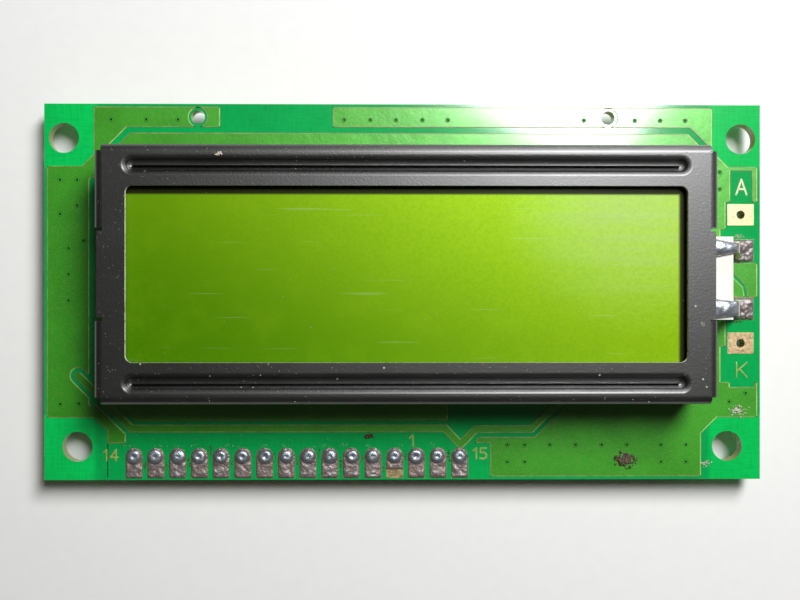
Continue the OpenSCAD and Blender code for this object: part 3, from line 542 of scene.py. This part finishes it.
def fleck(mesh, centre, size, height, draw):
    """A small irregular flake that lies on a surface."""
    sides = draw.randint(5, 8)
    turn = draw.uniform(0, math.tau)
    squeeze = draw.uniform(0.45, 1.0)
    ring = []
    for i in range(sides):
        angle = math.tau * i / sides
        reach = size / 2 * draw.uniform(0.7, 1.15)
        x, y = reach * math.cos(angle), reach * math.sin(angle) * squeeze
        ring.append((centre[0] + x * math.cos(turn) - y * math.sin(turn),
                     centre[1] + x * math.sin(turn) + y * math.cos(turn)))
    base = [mesh.verts.new((x, y, centre[2])) for x, y in ring]
    tip = mesh.verts.new((centre[0], centre[1], centre[2] + height))
    mesh.faces.new(base)
    for i in range(sides):
        mesh.faces.new((base[i], base[(i + 1) % sides], tip))


# The strokes of each mark in a box one unit high, as lines through points.
STROKES = {
    "A": (0.7, [[(0, 0), (0.35, 1), (0.7, 0)], [(0.14, 0.36), (0.56, 0.36)]]),
    "K": (0.7, [[(0, 0), (0, 1)], [(0.7, 1), (0, 0.4)], [(0.22, 0.56), (0.7, 0)]]),
    "1": (0.35, [[(0, 0.75), (0.3, 1), (0.3, 0)]]),
    "4": (0.65, [[(0.5, 0), (0.5, 1), (0, 0.3), (0.65, 0.3)]]),
    "5": (0.6, [[(0.58, 1), (0.06, 1), (0.03, 0.56), (0.4, 0.6), (0.6, 0.42), (0.58, 0.15),
                 (0.36, 0), (0, 0.05)]]),
}


def write(mesh, text, middle, height, width, low, high):
    """Draws marks with flat rounded bars, centred on a place."""
    gap = 0.3
    run = sum(STROKES[sign][0] for sign in text) + gap * (len(text) - 1)
    x = middle[0] - run * height / 2
    level = high
    for sign in text:
        reach, lines = STROKES[sign]
        for line in lines:
            points = [(x + px * height, middle[1] + (py - 0.5) * height) for px, py in line]
            for a, b in zip(points, points[1:]):
                # no two tops lie in one plane
                stroke(mesh, (*a, low), (*b, low), width, low, level)
                level -= BAR_STEP
        x += (reach + gap) * height


def scatter(mesh, middle, reach, level, count, sizes, draw, flat=0.35):
    """Flakes strewn about a place, thickest in its middle; all but the level in millimetres."""
    spread = 0.42
    for _ in range(count):
        x = (middle[0] + draw.gauss(0, spread) * reach[0]) * MM
        y = (middle[1] + draw.gauss(0, spread) * reach[1]) * MM
        size = draw.uniform(*sizes) * MM
        fleck(mesh, (x, y, level), size, size * flat * draw.uniform(0.5, 1.2), draw)


# Settings ----------------------------------------------------

def colour_setting(name, description, default):
    return bpy.props.FloatVectorProperty(name=name, description=description, default=default,
                                         subtype="COLOR", size=3, min=0, max=1)


def length_setting(name, description, default):
    return bpy.props.FloatProperty(name=name, description=description, default=default,
                                   min=0, unit="LENGTH", subtype="DISTANCE")


def share_setting(name, description, default):
    return bpy.props.FloatProperty(name=name, description=description, default=default,
                                   min=0, max=1, subtype="FACTOR")


class BoardSettings(bpy.types.PropertyGroup):
    mask_colour: colour_setting("Mask", "Solder mask over bare laminate", paint(0, 206, 93))
    # A darker mask tone, blended into all the mask but the board's four corners.
    deep_colour: colour_setting("Deep mask", "Solder mask in the channels between copper",
                                paint(0, 104, 66))
    covered_colour: colour_setting("Covered copper", "Solder mask over copper", paint(61, 167, 35))
    # The edge colour is thin mask over the foil, lightened as a painted highlight.
    edge_colour: colour_setting("Copper edge", "Where the mask thins at a foil edge",
                                paint(196, 212, 122))
    laminate_colour: colour_setting("Laminate", "Sawn edges and drilled walls",
                                    paint(214, 214, 150))
    gold_colour: colour_setting("Gold", "Plating on the pads", paint(218, 192, 148))
    mark_colour: colour_setting("Marks", "Covered copper of the marks", paint(172, 186, 92))
    anode_mark_colour: colour_setting("Anode mark", "Thinly covered copper of the anode's letter",
                                      paint(236, 232, 190))
    via_width: length_setting("Via width", "Outer width of a plated via", 0.56 * MM)
    letter_height: length_setting("Letter height", "Height of the marks", 1.25 * MM)
    letter_stroke: length_setting("Letter stroke", "Width of a mark's line", 0.2 * MM)


class BezelSettings(bpy.types.PropertyGroup):
    paint_colour: colour_setting("Paint", "Baked paint on the bezel", paint(15, 15, 14))
    gloss: share_setting("Gloss", "Weight of the clear top of the paint", 0.92)
    # Bare steel at the window's cut edge, its pale colour partly a painted highlight.
    steel_colour: colour_setting("Steel", "Sheared edge of the sheet", paint(226, 226, 214))
    ease: share_setting("Ease", "How far the thick paint evens out the folds", 0.68)
    dust: share_setting("Dust", "Share of the face's cells that hold a speck", 0.08)


class DisplaySettings(bpy.types.PropertyGroup):
    # The film's painted light: painted lit and shade colours at the two ends of a gradient.
    lit_colour: colour_setting("Lit film", "Film at the bright end", paint(142, 182, 18))
    dim_colour: colour_setting("Dim film", "Film at the dark end", paint(73, 131, 0))
    # Painted shadow of the bezel's lip along the window's top and right edges.
    border_colour: colour_setting("Border", "Film beyond the lit area, above and to the right",
                                  paint(42, 48, 18))
    grain_colour: colour_setting("Grain", "Dark grain of the reflector", paint(96, 142, 0))
    sheen: share_setting("Sheen", "How metallic the reflector behind the film looks", 0.4)


class SolderSettings(bpy.types.PropertyGroup):
    tin_colour: colour_setting("Tin", "Clean solder", paint(176, 184, 194))
    soiled_colour: colour_setting("Soiled tin", "Solder low on a pad", paint(158, 132, 116))
    flux_colour: colour_setting("Flux", "Burnt flux", paint(96, 62, 44))
    anode_neck: length_setting("Anode neck", "Width of the anode lead at its bend", 1.0 * MM)
    cathode_neck: length_setting("Cathode neck", "Width of the cathode lead at its bend", 1.6 * MM)
    dome: length_setting("Dome", "Height of the solder over a terminal", 0.5 * MM)
    dimple: share_setting("Dimple", "How far the solder is drawn down into a terminal's hole", 0.5)
    tail: length_setting("Tail", "Height of the solder on a pad's end", 0.17 * MM)


class StageSettings(bpy.types.PropertyGroup):
    lamp_power: bpy.props.FloatProperty(name="Lamp", description="Power of the window lamp",
                                        default=1.0, min=0, unit="POWER")
    room_light: bpy.props.FloatProperty(name="Room", description="Strength of the room's light",
                                        default=0.04, min=0)
    camera_height: length_setting("Camera height", "Camera above the board's top",
                                  121.6 * MM)


# Operators ---------------------------------------------------

class DISPLAY_OT_finish_board(bpy.types.Operator):
    """Finish the circuit board, its copper and its bare pads"""
    bl_idname = "display_module.finish_board"
    bl_label = "Finish the board"

    def execute(self, context):
        look = context.scene.module_board
        dress(mask_finish(look), "circuit_board")
        dress(covered_copper_finish(look), "top_copper", "bottom_copper")
        dress(gold_finish("gold plate", look.gold_colour),
              "terminal_pads", "wire_hole_pads", "lead_pads")
        dim, pale = bmesh.new(), bmesh.new()
        # lines of thin mask along the foil's edges, their light colour partly a painted highlight;
        # edges facing right, towards the lamp, are painted brighter as the lit side
        for a, b, inward in foil_rim("top_copper", FOIL_TOP):
            ribbon(pale if inward.x < -0.5 else dim, a, b, inward, EDGE_LINE_WIDTH,
                   FOIL_TOP - WELD, FOIL_TOP + EDGE_LINE_HEIGHT)
        for name, mesh, share in (("thin_mask_over_foil_edges", dim, 0.5),
                                  ("thin_mask_over_right_edges", pale, 1.0)):
            light = shaded(look.edge_colour, share)
            keep(name, mesh, plain_finish(name.replace("_", " "), light, shaded(light, 0.6),
                                          1.2, rough=(0.3, 0.45)),
                 "mask_over_copper", smooth=False)
        return {"FINISHED"}


class DISPLAY_OT_finish_bezel(bpy.types.Operator):
    """Finish the folded steel bezel"""
    bl_idname = "display_module.finish_bezel"
    bl_label = "Finish the bezel"

    def execute(self, context):
        dress(bezel_finish(context.scene.module_bezel), "bezel")
        return {"FINISHED"}


class DISPLAY_OT_finish_display(bpy.types.Operator):
    """Finish the liquid crystal cell, its films and its rubber strips"""
    bl_idname = "display_module.finish_display"
    bl_label = "Finish the display"

    def execute(self, context):
        dress(display_film_finish(context.scene.module_display), "front_polarizer")
        dress(glass_finish(), "front_glass", "rear_glass")
        dress_plainly("seal", (190, 190, 170), (150, 150, 130), 1, "cell_seal")
        dress_plainly("rear film", (150, 156, 120), (120, 130, 90), 1, "rear_polarizer")
        dress_plainly("strip rubber", (205, 120, 130), (170, 90, 100), 0.6, "upper_connector_strip",
                      "lower_connector_strip")
        dress(gold_finish("contact gold", context.scene.module_board.gold_colour),
              "contact_fingers")
        return {"FINISHED"}


class DISPLAY_OT_finish_backlight(bpy.types.Operator):
    """Finish the backlight, its board of diodes and its two leads"""
    bl_idname = "display_module.finish_backlight"
    bl_label = "Finish the backlight"

    def execute(self, context):
        dress_plainly("white plastic", (246, 245, 240), (232, 230, 222), 2, "backlight_housing",
                      Subsurface_Weight=0.1, Subsurface_Radius=(0.001, 0.001, 0.001))
        dress_plainly("diffuser", (238, 240, 236), (222, 226, 220), 1.2, "diffuser")
        dress_plainly("white board", (236, 236, 230), (216, 214, 204), 1.5, "led_board")
        dress_plainly("clear resin", (222, 232, 150), (196, 214, 110), 0.8, "led_drops",
                      rough=(0.08, 0.16))
        dress(lead_finish(), "anode_lead", "cathode_lead")
        return {"FINISHED"}


class DISPLAY_OT_finish_components(bpy.types.Operator):
    """Finish the potted dies and the chip parts under the board"""
    bl_idname = "display_module.finish_components"
    bl_label = "Finish the components"

    def execute(self, context):
        dress_plainly("black resin", (34, 34, 35), (22, 22, 23), 1.6, "controller_drop",
                      "driver_drop", rough=(0.28, 0.5), depth=0.03 * MM)
        dress_plainly("silicon", (110, 112, 120), (84, 86, 94), 0.5, "controller_die", "driver_die")
        dress_plainly("resistor body", (38, 38, 42), (26, 26, 28), 0.3, "bias_resistors",
                      "timing_resistor")
        dress_plainly("capacitor body", (178, 146, 106), (150, 120, 84), 0.3, "capacitors")
        dress_plainly("chip tin", (206, 206, 208), (170, 170, 174), 0.2, "bias_resistor_caps",
                      "timing_resistor_caps", "capacitor_caps", rough=(0.25, 0.4), Metallic=1.0)
        return {"FINISHED"}


def spaced(count):
    """Steps from -1 to 1 that lie closer together towards both ends."""
    return [-math.cos(math.pi * i / count) for i in range(count + 1)]


def layered(place, seed, *layers):
    """Noise at a place, as a sum of (fineness, weight) layers."""
    return sum(noise.noise(place * fine + seed) * weight for fine, weight in layers)


def pad_half_width(y, pin_y):
    """Half the width of a terminal's pad at a height y: round above, square below."""
    half = TERMINAL_WIDTH / 2
    corner = 0.22 * MM
    over = y - pin_y
    under = PADS_LOW.y + corner - y
    if over > 0:
        return math.sqrt(max(half * half - over * over, 0))
    if under > 0:
        return half - corner + math.sqrt(max(corner * corner - under * under, 0))
    return half


def joint_rows(x, pin_y, low_y, look, draw, columns=24, rows=44):
    """Rows of points over one soldered terminal: a dimpled dome, and a lumpy tail below it."""
    half = TERMINAL_WIDTH / 2
    top_y = pin_y + half
    seed = Vector((draw.uniform(0, 90), draw.uniform(0, 90), 0))
    dome = look.dome * draw.uniform(0.8, 1.0)
    tail = look.tail * draw.uniform(0.8, 1.2)
    lean = draw.uniform(-0.12, 0.12) * MM
    fill = draw.uniform(0.8, 0.94)
    dimple = look.dimple * draw.uniform(0.6, 1.25)
    made = []
    for r in range(rows + 1):
        share = r / rows
        y = top_y + (low_y - top_y) * (share ** 1.35)
        width = pad_half_width(y, pin_y) * PAD_SHARE
        row = []
        for u in spaced(columns):
            px = x + u * width
            near = Vector((px - x - lean, y - pin_y, 0)).length / (half * fill)
            drawn = max(1 - near / 0.78, 0)
            ball = dome * math.sqrt(max(1 - near * near, 0)) * (1 - dimple * drawn * drawn)
            edge = max(1 - abs(u) ** 3.5, 0) * min((y - low_y) / (0.25 * MM), 1)
            edge = max(min(edge, 1), 0) ** 0.5
            place = Vector((px, y, 0)) / MM
            rough = layered(place, seed, (1.6, 0.6), (4, 0.35), (9, 0.3))
            lump = tail * (0.75 + 0.9 * rough) * edge
            calm = noise.noise(place * 1.3 - seed) * 0.04 * MM * edge
            height = max(lump, 0.25 * lump + ball + calm if ball > 0 else 0)
            row.append((px, y, FOIL_TOP + max(height, 0.0) + 0.004 * MM))
        made.append(row)
    return made


class DISPLAY_OT_solder_terminals(bpy.types.Operator):
    """Solder the sixteen terminals, each a little unlike the next"""
    bl_idname = "display_module.solder_terminals"
    bl_label = "Solder the terminals"

    def execute(self, context):
        look = context.scene.module_solder
        draw = random.Random(16)
        pin_y = PADS_HIGH.y - TERMINAL_WIDTH / 2
        mesh = bmesh.new()
        for i in range(TERMINALS):
            x = FIRST_TERMINAL_X + i * TERMINAL_PITCH
            low_y = PADS_LOW.y + (BARE_END if i == BARE_ENDED_TERMINAL else 0)
            field(mesh, joint_rows(x, pin_y, low_y, look, draw), FOIL_TOP - SEAT)
        keep("soldered_terminals", mesh, solder_finish(look), "solder", "terminal_solder")
        return {"FINISHED"}


def lead_joint(pad_low, pad_high, draw, columns=34, rows=34):
    """Rows of points over one lead's pad: a square-cornered, torn lump of solder."""
    middle = (pad_low + pad_high) / 2
    half = (pad_high - pad_low) / 2
    seed = Vector((draw.uniform(0, 90), draw.uniform(0, 90), 0))
    made = []
    for v in spaced(rows):
        row = []
        for u in spaced(columns):
            px = middle.x + u * half.x * PAD_SHARE
            py = middle.y + v * half.y * PAD_SHARE
            place = Vector((px, py, 0)) / MM
            edge = max((1 - abs(u) ** 5) * (1 - abs(v) ** 5), 0) ** 0.5
            rough = layered(place, seed, (1.1, 0.5), (2.7, 0.4), (7, 0.14))
            climb = max(-u - 0.1, 0) * max(1 - v * v * 2.2, 0) * 1.7
            crest = 0.62 + 0.2 * v - 0.12 * u + 0.45 * rough + climb
            row.append((px, py, FOIL_TOP + 0.006 * MM + edge * max(crest, 0.22) * 0.95 * MM))
        made.append(row)
    return made


def lead_tinning(box, neck, draw, columns=20, rows=40):
    """Rows of points over one lead's run past the bezel: a drop that narrows to the bend."""
    start, end = BEZEL_HIGH.x - 0.15 * MM, LUG_END_X + 0.35 * MM
    y = (box[0].y + box[1].y) / 2
    wide = (box[1].y - box[0].y) / 2
    seed = Vector((draw.uniform(0, 90), draw.uniform(0, 90), 0))
    made = []
    for r in range(rows + 1):
        share = r / rows
        width = wide + (neck - wide) * share
        crown = math.sin(math.pi * min(share * 0.82 + 0.14, 1)) ** 0.8
        x = start + (end - start) * share
        row = []
        for u in spaced(columns):
            place = Vector((x, y + u * width, 0)) / MM
            calm = 1 + 0.25 * noise.noise(place * 1.4 + seed)
            rise = math.sqrt(max(1 - u * u, 0)) * crown * calm * 0.42 * MM
            row.append((x, y + u * width * 0.97, box[1].z + 0.004 * MM + rise))
        made.append(row)
    return made


class DISPLAY_OT_solder_leads(bpy.types.Operator):
    """Solder the two backlight leads to their pads and tin their runs"""
    bl_idname = "display_module.solder_leads"
    bl_label = "Solder the leads"

    def execute(self, context):
        look = context.scene.module_solder
        draw = random.Random(5)
        low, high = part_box("lead_pads")
        lumps, drops = bmesh.new(), bmesh.new()
        for node, neck in (("anode_lead", look.anode_neck), ("cathode_lead", look.cathode_neck)):
            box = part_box(node)
            y = (box[0].y + box[1].y) / 2
            pad = (Vector((low.x, y - LEAD_PAD_WIDTH / 2, 0)),
                   Vector((high.x, y + LEAD_PAD_WIDTH / 2, 0)))
            field(lumps, lead_joint(*pad, draw), FOIL_TOP - SEAT)
            field(drops, lead_tinning(box, neck / 2, draw), box[1].z - 2 * SEAT)
        keep("soldered_leads", lumps,
             solder_finish(look, soil=0.7, name="lead solder", dull=0.16, warm=0.5), "solder",
             "anode_lead_solder", "cathode_lead_solder")
        keep("tinned_lead_runs", drops, solder_finish(look, soil=0.0, name="tinning"), "solder")
        return {"FINISHED"}


# Plated vias, as distances in millimetres from the board's middle.
VIAS = [(x, 20.15) for x in (-34.2, -30.1, -26.4, -6.95, -3.9, -0.9, 2.2, 5.2, 21.2, 27.2, 30.2,
                             33.15)]
VIAS += [(x, -17.95) for x in (12.2, 14.25, 17.2, 20.25, 23.3, 26.3, 30.3, 33.25)]
VIAS += [(x, -19.95) for x in (12.2, 14.25, 30.3, 33.25)]
VIAS += [(-40.15, 13.1), (-38.15, 13.1), (-38.15, 10.1), (-40.15, 9.1), (-37.4, 6.0), (-39.15, 5.1),
         (-39.15, 2.05), (-39.15, -1.0), (-40.1, -13.1), (-37.95, -13.05), (38.35, -12.9),
         (40.3, -11.9), (37.25, 14.1), (37.25, 12.1)]


class DISPLAY_OT_add_vias(bpy.types.Operator):
    """Add the plated vias on both sides of the board"""
    bl_idname = "display_module.add_vias"
    bl_label = "Add the vias"

    def execute(self, context):
        look = context.scene.module_board
        mesh = bmesh.new()
        outer = look.via_width / 2
        # shares of the outer radius, and heights in millimetres
        profile = ((0, 0.003), (0.4, 0.005), (0.62, 0.02), (0.8, 0.022), (1, 0.0), (0.9, -0.01),
                   (0, -0.01))
        for x, y in VIAS:
            for level, way in ((FOIL_TOP, 1), (BOARD_LOW.z, -1)):
                turned(mesh, (x * MM, y * MM),
                       [(share * outer, level + way * height * MM) for share, height in profile],
                       sides=16)
        keep("plated_vias", mesh, via_finish(look), "mask_over_copper")
        return {"FINISHED"}


class DISPLAY_OT_add_marks(bpy.types.Operator):
    """Add the terminal numbers and the two letters beside the wire pads"""
    bl_idname = "display_module.add_marks"
    bl_label = "Add the marks"

    def execute(self, context):
        look = context.scene.module_board
        low, high = BOARD_HIGH.z - WELD, BOARD_HIGH.z + MARK_HEIGHT
        mesh, pale = bmesh.new(), bmesh.new()
        letters, line = 1.75 * MM, look.letter_stroke
        wire_x = BOARD_HIGH.x - 2.2 * MM
        write(pale, "A", (wire_x, 12.36 * MM), letters, 1.25 * line, low, high)
        write(mesh, "K", (wire_x + 0.05 * MM, -9.15 * MM), letters, 0.75 * line, low, high)
        for text, x, y in (("14", -34.25, -19.1), ("1", 0.95, -17.45), ("15", 8.95, -18.95)):
            write(mesh, text, (x * MM, y * MM), look.letter_height, line, low, high)
        for name, marks, colour in (("terminal_marks", mesh, look.mark_colour),
                                    ("anode_mark", pale, look.anode_mark_colour)):
            keep(name, marks, plain_finish(name.replace("_", " "), colour, shaded(colour, 0.7),
                                           0.5, rough=(0.3, 0.42)),
                 "mask_over_copper", smooth=False)
        return {"FINISHED"}


class DISPLAY_OT_add_wear(bpy.types.Operator):
    """Add the dust, the dried flux and the scuffs that use has left, and pale flecks painted as
    glints by the solder crumb
    """
    bl_idname = "display_module.add_wear"
    bl_label = "Add the wear"

    def execute(self, context):
        draw = random.Random(31)
        face, board = BEZEL_HIGH.z, BOARD_HIGH.z
        edge = 1.1 * MM
        pale, brown, grey = bmesh.new(), bmesh.new(), bmesh.new()
        # dust on the bezel's face, on the film and on the mask
        dusted = 0
        while dusted < 110:
            x = draw.uniform(BEZEL_LOW.x + edge, BEZEL_HIGH.x - edge)
            y = draw.uniform(BEZEL_LOW.y + edge, BEZEL_HIGH.y - edge)
            away = max(abs(x) - WINDOW.x, abs(y - BEZEL_MIDDLE_Y) - WINDOW.y)
            groove = abs(abs(y - BEZEL_MIDDLE_Y) - BEAD_Y) < BEAD_CLEAR
            if away > 0.1 * MM and not groove:
                fleck(pale, (x, y, face), draw.uniform(0.05, 0.13) * MM, 0.012 * MM, draw)
                dusted += 1
        for _ in range(90):
            x = draw.uniform(-WINDOW.x, WINDOW.x)
            y = BEZEL_MIDDLE_Y + draw.uniform(-WINDOW.y, WINDOW.y)
            fleck(pale, (x, y, FILM_HIGH.z), draw.uniform(0.04, 0.11) * MM, 0.012 * MM, draw)
        for _ in range(70):
            x = draw.uniform(BOARD_LOW.x + edge, BOARD_HIGH.x - edge)
            y = draw.choice((draw.uniform(BOARD_LOW.y + 3 * MM, BEZEL_LOW.y),
                             draw.uniform(BEZEL_HIGH.y, BOARD_HIGH.y - edge)))
            fleck(pale, (x, y, FOIL_TOP), draw.uniform(0.05, 0.12) * MM, 0.02 * MM, draw)
        # a crumb of solder on the face
        turned(grey, (32.35 * MM, -3.75 * MM),
               [(reach * MM, face + height * MM) for reach, height in
                ((0, -0.01), (0.3, -0.01), (0.22, 0.01), (0, 0.015))], sides=12)
        # flakes: mesh, middle, reach, level, count, sizes and flatness
        for mesh, middle, reach, level, count, sizes, flat in (
                # the chip in the paint, and the pale flecks by the crumb, which are painted glints
                # on it
                (pale, (-20.6, 14.9), (0.45, 0.3), face, 26, (0.12, 0.35), 0.04),
                (brown, (-20.6, 14.9), (0.5, 0.35), face, 14, (0.1, 0.3), 0.04),
                (pale, (32.2, -3.5), (0.3, 0.25), face, 6, (0.08, 0.2), 0.06),
                # the crust right of the terminals
                (brown, (26.0, -19.75), (1.3, 0.85), FOIL_TOP, 150, (0.15, 0.5), 0.2),
                (grey, (26.0, -19.75), (1.5, 0.95), FOIL_TOP, 90, (0.12, 0.4), 0.3),
                (pale, (26.0, -19.75), (1.6, 1.0), FOIL_TOP, 45, (0.07, 0.16), 0.35),
                # the scuffs on the mask, and the splash over the terminals
                (pale, (39.4, -14.0), (1.1, 0.6), FOIL_TOP, 60, (0.1, 0.4), 0.15),
                (pale, (35.5, -20.2), (0.9, 0.5), board, 40, (0.08, 0.3), 0.15),
                (brown, (-4.1, -16.9), (0.55, 0.32), FOIL_TOP, 60, (0.12, 0.4), 0.2)):
            scatter(mesh, middle, reach, level, count, sizes, draw, flat)
        # round the terminals and the two lead pads
        for i in range(TERMINALS):
            x = (FIRST_TERMINAL_X + i * TERMINAL_PITCH) / MM
            side = draw.choice((-1, 1)) * 1.25
            scatter(brown, (x + side, draw.uniform(-20.6, -18.6)), (0.22, 0.7), board, 14,
                    (0.06, 0.22), draw, 0.2)
            scatter(pale, (x + draw.uniform(-0.8, 0.8), -18.0), (0.6, 0.22), board, 7,
                    (0.05, 0.14), draw)
        for y in (5.7, -1.2):
            scatter(pale, (39.6, y + 0.9), (0.8, 0.3), board, 26, (0.06, 0.22), draw)
            scatter(brown, (39.4, y - 2.3), (0.9, 0.2), board, 26, (0.08, 0.25), draw, 0.2)
        for name, mesh, kind, light, dark, patch, rough in (
                ("dust_residue_and_painted_glints", pale, "pale dust and painted glints", (226, 222, 208), (196, 190, 172), 0.3,
                 (0.4, 0.6)),
                ("burnt_flux", brown, "burnt flux", (110, 78, 52), (52, 40, 26), 0.25, (0.2, 0.5)),
                ("solder_crumbs", grey, "crumbs", (120, 116, 108), (70, 68, 62), 0.25,
                 (0.4, 0.6))):
            keep(name, mesh, plain_finish(kind, paint(*light), paint(*dark), patch, rough),
                 "solder")
        return {"FINISHED"}


class DISPLAY_OT_make_stage(bpy.types.Operator):
    """Set the floor, the lamps, the room and the camera"""
    bl_idname = "display_module.make_stage"
    bl_label = "Make the stage"

    def execute(self, context):
        scene = context.scene
        look = scene.module_stage
        scene.view_settings.view_transform = "Standard"
        self.floor()
        self.lamp(look.lamp_power)
        self.room(scene, look.room_light)
        self.camera(scene, look.camera_height)
        return {"FINISHED"}

    def floor(self):
        mesh = bmesh.new()
        reach = 1.2
        corners = [mesh.verts.new((x, y, CAD_LOW.z)) for x, y in
                   ((-reach, -reach), (reach, -reach), (reach, reach), (-reach, reach))]
        mesh.faces.new(corners)
        data = bpy.data.meshes.new("floor")
        mesh.to_mesh(data)
        mesh.free()
        floor = linked("floor", data)
        paper = Finish("white table", Roughness=0.85)
        paper.shade(Base_Color=paper.blend(paper.grain(1.5), paint(244, 244, 243),
                                           paint(238, 238, 237)))
        wear(floor, paper)

    def lamp(self, power):
        place, aim = Vector((85, 122, 244)), Vector((8, 0, 8))
        data = bpy.data.lights.new("window lamp", "AREA")
        data.shape = "RECTANGLE"
        data.size, data.size_y = 88 * MM, 145 * MM
        data.energy = power
        lamp = linked("window lamp", data)
        lamp.location = place * MM
        lamp.rotation_euler = (aim - place).to_track_quat("-Z", "Y").to_euler()

    def room(self, scene, strength):
        world = bpy.data.worlds.new("room")
        world.use_nodes = True
        sockets = world.node_tree.nodes["Background"].inputs
        sockets["Color"].default_value = (1, 0.9, 0.74, 1)
        sockets["Strength"].default_value = strength
        scene.world = world

    def camera(self, scene, height):
        data = bpy.data.cameras.new("camera")
        data.lens = 46.67
        data.sensor_width = 36
        data.shift_x = 0.043
        data.shift_y = 0.011
        data.clip_start = 0.01
        camera = linked("camera", data)
        camera.location = (-5.9 * MM, -2.0 * MM, BOARD_HIGH.z + height)
        camera.rotation_euler = (math.radians(0.011), math.radians(-0.686), math.radians(0.009))
        scene.camera = camera


SETTINGS = {
    "module_board": BoardSettings,
    "module_bezel": BezelSettings,
    "module_display": DisplaySettings,
    "module_solder": SolderSettings,
    "module_stage": StageSettings,
}
STEPS = (
    DISPLAY_OT_finish_board,
    DISPLAY_OT_finish_bezel,
    DISPLAY_OT_finish_display,
    DISPLAY_OT_finish_backlight,
    DISPLAY_OT_finish_components,
    DISPLAY_OT_solder_terminals,
    DISPLAY_OT_solder_leads,
    DISPLAY_OT_add_vias,
    DISPLAY_OT_add_marks,
    DISPLAY_OT_add_wear,
    DISPLAY_OT_make_stage,
)


class DISPLAY_PT_module(bpy.types.Panel):
    """The module's settings and steps"""
    bl_idname = "DISPLAY_PT_module"
    bl_label = "Display Module"
    bl_space_type = "VIEW_3D"
    bl_region_type = "UI"
    bl_category = "Display Module"

    def draw(self, context):
        for name, group in SETTINGS.items():
            column = self.layout.column(heading=group.__name__)
            for setting in group.__annotations__:
                column.prop(getattr(context.scene, name), setting)
        for step in STEPS:
            self.layout.operator(step.bl_idname)


def register():
    for name, group in SETTINGS.items():
        bpy.utils.register_class(group)
        setattr(bpy.types.Scene, name, bpy.props.PointerProperty(type=group))
    for step in (*STEPS, DISPLAY_PT_module):
        bpy.utils.register_class(step)


def unregister():
    for step in (DISPLAY_PT_module, *reversed(STEPS)):
        bpy.utils.unregister_class(step)
    for name, group in reversed(SETTINGS.items()):
        delattr(bpy.types.Scene, name)
        bpy.utils.unregister_class(group)


def main():
    register()
    for step in STEPS:
        family, action = step.bl_idname.split(".")
        getattr(getattr(bpy.ops, family), action)()


if __name__ == "__main__":
    main()
